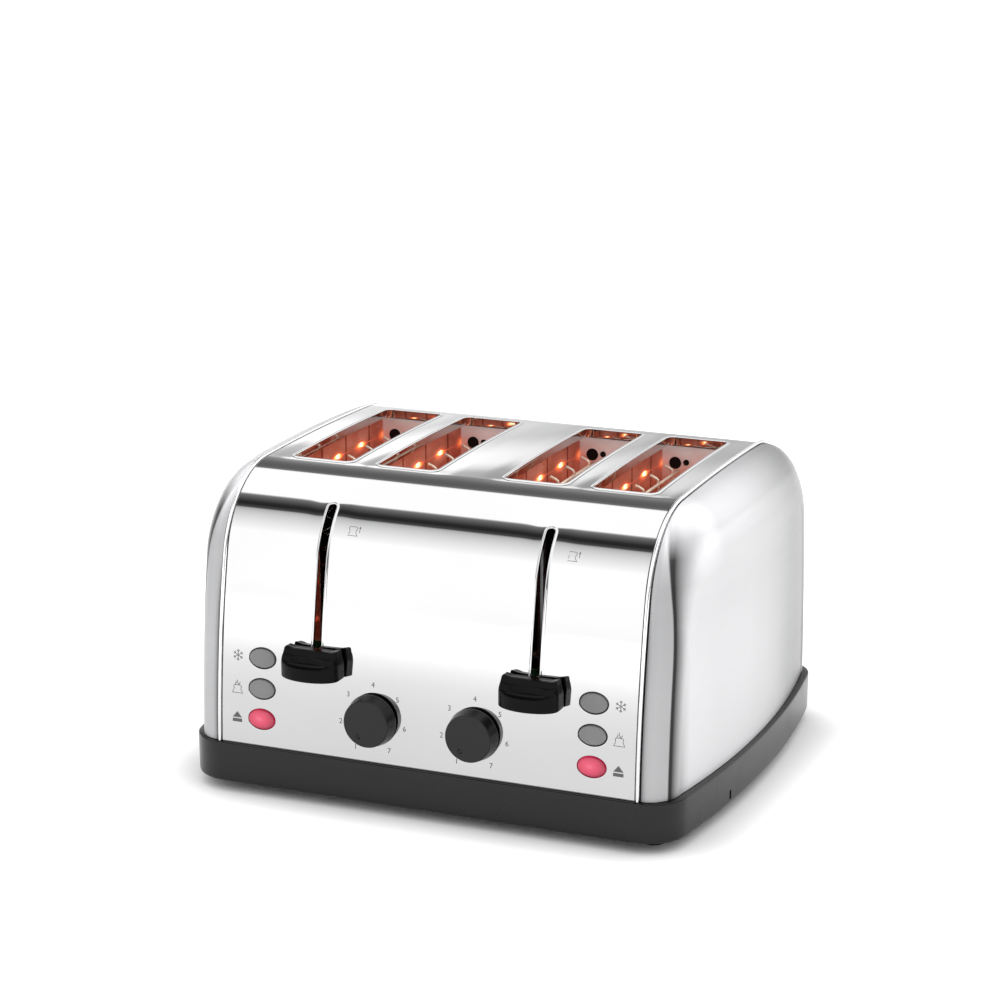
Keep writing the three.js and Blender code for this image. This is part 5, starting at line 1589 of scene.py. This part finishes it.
@dataclass
class PushButton(HalfPart):
    """Oval push button with a softly domed face. The lowest of each half is lit from behind."""

    task: Task
    half_x: float = 8.25
    half_z: float = 5.75
    dome: float = 1.1
    steps: int = 88
    lamp_offset: tuple[float, float] = (-0.9, 0.5)

    def shape(self, reach: float) -> Surface:
        """Ovals of a growing share and an extra width over a profile of heights, from the face to the stem's end.

        Args:
            reach: distance from the face to the stem's end.

        Returns:
            The surface, with its face at height 0.
        """
        rows = [(share, 0.0, 0.75 * self.dome * share ** 2.6) for share in np.linspace(0, 0.9, 18)]
        rows += [(.94, 0, .72), (.968, 0, .86), (.987, 0, 1.05), (.997, 0, 1.3), (1, 0, 1.6), (1, 0, 3.0),
                 (1, 0, 4.3), (1, 1.8, 4.3), (1, 1.8, 5.7)]
        share, extra, height = np.array(rows).T[:, :, None]
        caps = circle(full_turn(self.steps))[:, None] * (share * (self.half_x, self.half_z) + extra)
        stem = turned([(2.0, 5.7), (2.0, reach - 0.4), (1.6, reach), (0, reach)], self.steps)
        rings = [at_height(caps, height[:, 0]), stem.points.reshape(self.steps, -1, 3)]
        return laid_along_y(Surface.of_grid(np.concatenate(rings, axis=1), round_u=True))

    def build(self) -> None:
        """Makes the button."""
        name = self.own(self.task.name.lower())
        low, high = self.bench.box_of(f"{name}_button")
        x, z = self.side.value * WrapPanel.button_x, WrapPanel.button_zs[self.task.value]
        shape = self.shape(high[1] - low[1]).moved(x, low[1], z)
        finish, slot = BUTTON_PLASTIC, Slot.BUTTON
        if self.task is Task.CANCEL:
            lamp = np.array([x + self.lamp_offset[0], low[1] + self.bench.shift, z + self.lamp_offset[1]]) * MM
            finish, slot = LampPlastic(f"{self.side.word} lamp plastic", centre=tuple(lamp)), Slot.LIT
        self.bench.place(f"{name}_cap", shape, finish, slot, [f"{name}_button"], f"{name}_button", crease=45)


# ---------------------------------------------------------------- marks printed on the panel


class Drawing(Surface):
    """Flat drawing about its own middle, in X and Y."""

    @classmethod
    def stroke(cls, path: Sequence[tuple[float, float]], width: float, closed: bool = False) -> "Drawing":
        """A line of even width: each corner moved to both sides along the mean of its edges' normals.

        Args:
            path: corners of the line.
            width: width of the line.
            closed: whether the line returns to its start.

        Returns:
            The drawing.
        """
        spots = np.array(path, float)
        ahead = np.roll(spots, -1, axis=0) - spots
        if not closed:
            ahead[-1] = ahead[-2]
        behind = np.roll(ahead, 1, axis=0)
        if not closed:
            behind[0] = ahead[0]
        ahead, behind = unit(ahead), unit(behind)
        middle = unit(ahead + behind)
        reach = width / 2 / np.clip(np.sum(middle * ahead, axis=1), 0.35, 1)
        normal = np.stack([-middle[:, 1], middle[:, 0]], axis=-1) * reach[:, None]
        return cls.of_grid(at_height(np.stack([spots - normal, spots + normal], axis=1), 0.0), round_u=closed)

    @classmethod
    def patch(cls, path: Sequence[tuple[float, float]]) -> "Drawing":
        """A filled shape."""
        return cls.of_ring(at_height(np.array(path, float), 0.0))

    @classmethod
    def numeral(cls, number: int, height: float) -> "Drawing":
        """A numeral of a height, taken from a text object's mesh and centred."""
        curve = bpy.data.curves.new("numeral", "FONT")
        curve.body, curve.size = str(number), 1.0
        writing = added("numeral", curve)
        mesh = applied(writing)
        points = np.array([vertex.co for vertex in mesh.vertices]) * (1, 1, 0)
        corners = np.array([loop.vertex_index for loop in mesh.loops])
        sizes = np.array([face.loop_total for face in mesh.polygons])
        bpy.data.objects.remove(writing)
        bpy.data.curves.remove(curve)
        bpy.data.meshes.remove(mesh)
        low, high = points.min(axis=0), points.max(axis=0)
        places = (points - (low + high) / 2) * height / (high[1] - low[1])
        return cls(places, corners, sizes, np.full((len(corners), 3), np.nan))

    def at(self, x: float, z: float, rise: float = 0.06) -> Surface:
        """The drawing on the front of the panel, with its middle at x and z, just above the sheet."""
        s = float(ARCH.front_at(z))
        u, v, _ = self.points.T
        first, second, third = self.points[self.corners[:3]]
        upright = np.cross(second - first, third - first)[2] > 0
        order = np.arange(len(self.corners)) if upright else self.turned_order()
        corners = self.corners[order]
        return Surface(ARCH.place(x + u, s + v, -rise), corners, self.sizes, ARCH.facing(s + v)[corners])


@dataclass
class PanelMarks:
    """Numbers round the dials and the small pictures beside the controls."""

    bench: Bench
    dial_x: float = WrapPanel.dial_x
    dial_z: float = 57.3
    ring: float = 20.6
    first_angle: float = 239.0
    step_angle: float = 49.5
    line: float = 0.42
    numeral_height: float = 3.1
    outer_x: float = 120.0
    lift_x: tuple[float, float] = (-51.8, 84.1)
    lift_z: float = 163.5
    sign_zs: tuple[float, float, float] = (84.8, 65.9, 47.5)

    def snowflake(self) -> Drawing:
        """Three crossing lines with small branches near their ends."""
        parts = []
        for turn in np.radians([30, 90, 150, 210, 270, 330]):
            ray = circle(turn)
            parts.append(Drawing.stroke([ray * 0.2, ray * 3.5], self.line))
            for lean in (-0.8, 0.8):
                twig = circle(turn + lean) * 1.25
                parts.append(Drawing.stroke([ray * 2.0, ray * 2.0 + twig], self.line * 0.85))
        return Drawing.joined(parts)

    def bread(self, half: Sequence[tuple[float, float]], width: float) -> Drawing:
        """A slice of bread, from the right half of its outline."""
        return Drawing.stroke([*half, *((-x, y) for x, y in half[::-1])], width, closed=True)

    def reheat(self) -> Drawing:
        """A low slice with three curls of heat that rise from its top."""
        t = np.linspace(0, 1, 9)
        curls = [Drawing.stroke(list(zip(x + 0.4 * np.sin(t * 2 * np.pi + 2 * x), 0.7 + (3.2 - abs(x)) * t)), 0.38)
                 for x in (-1.3, 0.0, 1.3)]
        half = [(3.3, -3.9), (2.9, -2.9), (2.3, -1.8), (2.2, -0.9), (2.6, -0.2), (2.2, 0.5), (1.2, 0.8)]
        return Drawing.joined([self.bread(half, 0.32), *curls])

    def eject(self) -> Drawing:
        """A triangle over a bar."""
        return Drawing.joined([Drawing.patch([(-3.1, -0.5), (3.1, -0.5), (0, 3.2)]),
                               Drawing.patch([(-3.1, -3.2), (3.1, -3.2), (3.1, -1.2), (-3.1, -1.2)])])

    def lift(self) -> Drawing:
        """A slice with a small arrow that points up beside it."""
        half = [(3.1, -2.7), (2.5, -1.9), (2.0, -0.9), (1.9, 0.2), (2.3, 0.9), (2.7, 1.5), (2.5, 2.3), (1.7, 2.7)]
        return Drawing.joined([self.bread(half, 0.3), Drawing.stroke([(4.2, -0.6), (4.2, 2.2)], 0.34),
                               Drawing.patch([(3.55, 1.9), (4.85, 1.9), (4.2, 3.3)])])

    def build(self) -> None:
        """Makes the marks, on both halves alike and not mirrored."""
        signs = [self.snowflake(), self.reheat(), self.eject()]
        for side, lift_x in zip(Side, self.lift_x):
            parts = [self.lift().at(lift_x, self.lift_z)]
            for number in range(1, 8):
                x, z = self.ring * circle(math.radians(self.first_angle - self.step_angle * (number - 1)))
                numeral = Drawing.numeral(number, self.numeral_height)
                parts.append(numeral.at(side.value * self.dial_x + x, self.dial_z + z))
            parts += [sign.at(side.value * self.outer_x, z) for sign, z in zip(signs, self.sign_zs)]
            self.bench.place(f"{side.word}_panel_print", Surface.joined(parts), PANEL_PRINT, Slot.PANEL, closed=False)


# ---------------------------------------------------------------- the inside


@dataclass
class HeaterBoards(HalfPart):
    """Three mica boards of a half, each wound with flat glowing ribbon."""

    board_half: float = 0.5
    ribbon_half: float = 0.9
    reach: float = 76.7
    ribbon_reach: float = 66.5
    flame_reach: float = 8.5
    turns: int = 6
    thin: float = 0.38
    swell: float = 1.05
    flame_lift: float = 0.9
    wave: float = 0.3
    wave_pitch: float = 17.0

    def ribbon(self, z: float) -> Surface:
        """A flat ribbon at a height, with a slight wave along it and a wider stretch at each hot spot."""
        y = np.linspace(-self.ribbon_reach, self.ribbon_reach, 160)
        away = np.abs((y - RIBBON.first + RIBBON.pitch / 2) % RIBBON.pitch - RIBBON.pitch / 2)
        hot = np.clip(1 - away / self.flame_reach, 0, None)
        middle = z + self.wave * np.sin(y * 2 * np.pi / self.wave_pitch) + self.flame_lift * hot
        x, up = np.array([(-1, -1), (1, -1), (1, 1), (-1, 1)]).T
        level = middle[:, None] + (self.thin + self.swell * hot)[:, None] * up
        return Surface.of_bar(np.stack(np.broadcast_arrays(x * self.ribbon_half, y[:, None], level), axis=-1))

    def build(self) -> None:
        """Makes the boards and ribbons in place of the CAD heaters."""
        for place in ("inner", "middle", "outer"):
            node = self.own(f"heater_{place}")
            low, high = self.bench.box_of(node)
            x, foot, top = (low[0] + high[0]) / 2, low[2], high[2]
            board = slab((x - self.board_half, -self.reach, foot), (x + self.board_half, self.reach, top))
            self.bench.place(f"{node}_board", board, MICA, Slot.MICA, [node], bevel=0.2)
            heights = foot + (top - foot) * (np.arange(self.turns) + 0.5) / self.turns
            ribbons = Surface.joined([self.ribbon(z) for z in heights]).moved(x)
            self.bench.place(f"{node}_ribbons", ribbons, RIBBON, Slot.MICA, [node], crease=40)


@dataclass
class WireGuards(HalfPart):
    """Round wires in front of the heaters, bent outwards at the top, with two rails."""

    wires: int = 6
    wire_radius: float = 0.8
    bend: float = 0.9
    rail_radius: float = 1.0
    wire_reach: float = 65.6
    rail_reach: float = 76.7
    knee_drop: float = 2.8
    flare: float = 5.0

    def grille(self, x: float, flare: float, foot: float, top: float) -> Surface:
        """One grille: upright wires with a bent top, and level rails under the foot's and the knee's heights."""
        knee = top - self.knee_drop
        parts = []
        for y in np.linspace(-self.wire_reach, self.wire_reach, self.wires):
            corners = [(x, y, foot), (x, y, knee - 2), (x, y, knee), (x + flare * self.flare * 0.45, y, knee + 1.3),
                       (x + flare * (self.flare + 0.2), y, top - 0.3)]
            parts.append(tube(bent_path(corners, self.bend), self.wire_radius, np.array([0.0, 1.0, 0.0])))
        for z in (foot + 3, knee - 3):
            path = np.linspace((x, -self.rail_reach, z), (x, self.rail_reach, z), 24)
            parts.append(tube(path, self.rail_radius, np.array([1.0, 0.0, 0.0])))
        return Surface.joined(parts)

    def build(self) -> None:
        """Makes four grilles in place of the CAD guards."""
        for place in ("inner", "outer"):
            for number in (1, 2):
                node = self.own(f"guard_{place}_{number}")
                low, high = self.bench.box_of(node)
                towards = self.side.value * (-1 if number == 1 else 1)
                straight = high[0] - self.rail_radius if towards < 0 else low[0] + self.rail_radius
                shape = self.grille(straight, towards, low[2], high[2])
                self.bench.place(f"{node}_wires", shape, GUARD_WIRE, Slot.WIRE, [node], crease=50)


@dataclass
class ReturnSpring(HalfPart):
    """Round-wire spring in the place of the CAD spring."""

    turns: float = 12.0
    wire: float = 0.6
    keep: float = 0.367
    fixed_z: float = 0.179

    def build(self) -> None:
        """Makes the helix (r cos t, r sin t, h t) in the CAD spring's box."""
        node = self.own("return_spring")
        low, high = self.bench.box_of(node)
        x, y, _ = (low + high) / 2
        t = np.linspace(0, self.turns * 2 * np.pi, int(self.turns * 30))
        out = at_height(circle(t), 0.0)
        path = (x, y, 0.0) + out * ((high[0] - low[0]) / 2 - self.wire)
        path[:, 2] = np.linspace(low[2] + self.wire, high[2] - self.wire, len(t))
        coil = tube(path, self.wire, out, 8)
        piece = self.bench.place(self.own("spring_coil"), coil, PLATED, Slot.ZINC, [node], crease=60)
        self.own("lever_slide")
        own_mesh(piece)


@dataclass
class InnerWorks:
    """CAD nodes whose shape stays, with finishes of their own."""

    bench: Bench

    finishes = {
        "front_plate": SHADE_DARK_FRONT_SHEET, "rear_plate": REAR_SHEET, "bread_rack_inner": PLATED, "bread_rack_outer": PLATED,
        "crumb_tray": PLATED, "guide_rod": PLATED, "carriage_bracket": PLATED, "dial_shaft": PLATED,
        "latch_magnet": WINDING, "control_board": LAMINATE, "dial_pot": DIAL_PLASTIC}
    eyelet = ((0, 0.35), (1, 0.35), (1.02, 0.2), (1.12, 0.1), (1.25, 0.12), (1.32, 0.3), (1.32, 0.9), (0, 0.9))
    eyelets_at = ((-18.6, 171.5, 2.9), (-11.4, 172.3, 1.4))

    def fit_eyelets(self, side: Side) -> None:
        """Small dark cups on the rear plate, two behind each bread slot, in painted shade where holes are."""
        face = self.bench.box_of(f"{side.word}_rear_plate")[0][1]
        parts = []
        for centre in WrapPanel.slot_centres:
            for offset, z, radius in self.eyelets_at:
                ring = laid_along_y(turned(np.array(self.eyelet) * (radius, 1), 40))
                parts.append(ring.moved(side.value * centre + offset, face - 1.0, z))
        self.bench.place(f"{side.word}_rear_eyelets", Surface.joined(parts), HOLE_SHADE, Slot.ZINC)

    def build(self) -> None:
        """Dresses the nodes."""
        for side in Side:
            for name, finish in self.finishes.items():
                self.bench.dress(f"{side.word}_{name}", finish)
            self.fit_eyelets(side)
        self.bench.dress("cord_gland", GLAND_RUBBER)
        self.bench.dress("terminal_block", TERMINAL_RESIN)
        log.info("inner works: %d finishes", len(self.finishes) + 2)


# ---------------------------------------------------------------- the studio


@dataclass
class Studio:
    """Pale floor, soft white surroundings and the camera at the photograph's angle.

    The sweep holds pairs of angle and light, in degrees up from the front's horizon and over to the back. The walls
    hold them round the compass, from the back by the left, the front and the right.
    """

    bench: Bench
    lens: float = 101.08
    eye: tuple[float, float, float] = (628.69, -1525.31, 600.90)
    pitch: float = 15.01
    yaw: float = 22.68
    floor_radius: float = 14.0
    white: float = 1.72
    glow_half: tuple[float, float] = (0.118, 0.09)
    near_glow: tuple[float, ...] = (0.04, 0.092, 0.0, 0.5)
    far_glow: tuple[float, ...] = (0.2, 1.8, 0.0, 0.6)
    overhead: float = 0.95
    overhead_z: tuple[float, float] = (0.05, 0.5)
    front_x: float = -0.37
    front_half: tuple[float, float] = (0.2, 0.46)
    dimmed_degrees: tuple[float, float] = (150, 160)
    dimmed_x: tuple[float, ...] = (-0.42, -0.31, 0.0, 0.42)

    sweep = ((0, 1.0), (33, 1.0), (38, .9), (43, .82), (48, .73), (54, .61), (58.5, .48), (60.4, .36), (61.3, .065),
             (66, .017), (69, .025), (74, .085), (78.3, .16), (79.8, .4), (81, 1.0), (123.6, 1.0), (124.8, .8),
             (126.1, .16), (131, .1), (138, .105), (144, .13), (151, .19), (158, .27), (161, .48), (162.2, 1.0),
             (164, 1.0), (165.4, .84), (167, .65), (170, .7), (180, .8))

    walls = ((-180, .5), (-150, .5), (-120, .3), (-95, .25), (-75, .66), (-50, .75), (-20, .62), (20, .25), (60, .12),
             (92, .1), (103, .05), (115, .12), (128, .6), (138, 1.0), (152, 1.0), (161, .6), (172, .3), (180, .3))

    def world(self) -> None:
        """Surroundings as a function of the angle round the X axis: a pale sweep, a dark gap and a light overhead."""
        world = bpy.data.worlds.new("studio")
        bpy.context.scene.world = world
        world.use_nodes = True
        wiring, background = Wiring(world.node_tree), world.node_tree.nodes["Background"]
        x, y, z = wiring.parts(wiring.node("TexCoord", {}).outputs["Generated"])
        degree, ahead = math.radians(1), wiring.math("MULTIPLY", y, -1.0)
        angle = wiring.math("ARCTAN2", z, ahead)
        behind = wiring.span(angle, *np.radians(self.dimmed_degrees), soft=True)
        dimmed = wiring.math("MULTIPLY", behind, wiring.span(x, *self.dimmed_x))
        swept = wiring.vector("MULTIPLY", wiring.ramp(angle, self.sweep, scale=degree),
                              wiring.math("SUBTRACT", 1.0, dimmed))
        walls = wiring.ramp(wiring.math("ARCTAN2", x, ahead), self.walls, "B_SPLINE", degree)
        domed = wiring.mix(wiring.span(z, *self.overhead_z, soft=True), walls, (*(self.overhead,) * 3, 1.0))
        aside = wiring.math("ABSOLUTE", wiring.math("SUBTRACT", x, self.front_x))
        light = wiring.mix(wiring.span(aside, *self.front_half, soft=True), swept, domed)
        wiring.join(light, background.inputs["Color"])
        wiring.join(self.white, background.inputs["Strength"])

    def floor(self) -> None:
        """A wide pale disc under the feet, with painted light that it gives off more strongly away from the base, so
        that the shadow stays close to it.
        """
        ring = at_height(circle(full_turn(96)) * self.floor_radius / MM, 0.0)
        piece = added("pale_floor", self.bench.mesh_of("pale_floor", Surface.of_ring(ring), 30))
        recipe = Recipe("pale floor", (0.0, self.bench.shift * MM, 0.0))
        recipe.set(base_color=recipe.ramp(recipe.noise(3, 2), [(0.2, 0.76), (0.8, 0.78)]))
        away = recipe.vector("SUBTRACT", recipe.vector("ABSOLUTE", recipe.place), (*self.glow_half, 0.0))
        away = recipe.vector("LENGTH", recipe.vector("MAXIMUM", away, (0.0, 0.0, 0.0)))
        # painted light: the floor's glow grows with the distance from the base
        near = recipe.span(away, *self.near_glow, soft=True)
        far = recipe.span(away, *self.far_glow, soft=True)
        recipe.set(emission_color=(1, 1, 1, 1), emission_strength=recipe.math("ADD", near, far))
        recipe.set(roughness=0.9, specular_ior_level=0.0)
        piece.data.materials.append(recipe.material)

    def light(self) -> None:
        """One broad soft key from the upper left."""
        key = bpy.data.lights.new("soft_key", "SUN")
        key.energy, key.angle = 0.3, math.radians(50)
        lamp = added("soft_key", key)
        lamp.rotation_euler = Vector((-0.55, -0.45, 1.0)).to_track_quat("Z", "Y").to_euler()
        lamp.visible_glossy = False

    def camera(self) -> None:
        """Camera fitted to the photograph's perspective."""
        data = bpy.data.cameras.new("camera")
        data.lens, data.sensor_width, data.clip_end = self.lens, 36.0, 100.0
        camera = added("camera", data)
        camera.location = (Vector(self.eye) + Vector((0, self.bench.shift, 0))) * MM
        camera.rotation_euler = (math.radians(90 - self.pitch), 0.0, math.radians(self.yaw))
        bpy.context.scene.camera = camera

    def build(self) -> None:
        """Sets the whole studio up."""
        bpy.context.scene.view_settings.view_transform = "Standard"
        self.world()
        self.floor()
        self.light()
        self.camera()
        log.info("studio: ready")


def main() -> None:
    """Builds the toaster piece by piece."""
    logging.basicConfig(level=logging.INFO, format="%(message)s")
    bench = Bench()
    parts = [Studio(bench), WrapPanel(bench), *(EndCover(bench, side) for side in Side), Plinth(bench)]
    for side in Side:
        parts += [LeverKnob(bench, side), BrowningDial(bench, side)]
        parts += [PushButton(bench, side, task) for task in Task]
        parts += [HeaterBoards(bench, side), WireGuards(bench, side), ReturnSpring(bench, side)]
    for part in [*parts, PanelMarks(bench), InnerWorks(bench)]:
        part.build()


if __name__ == "__main__":
    main()
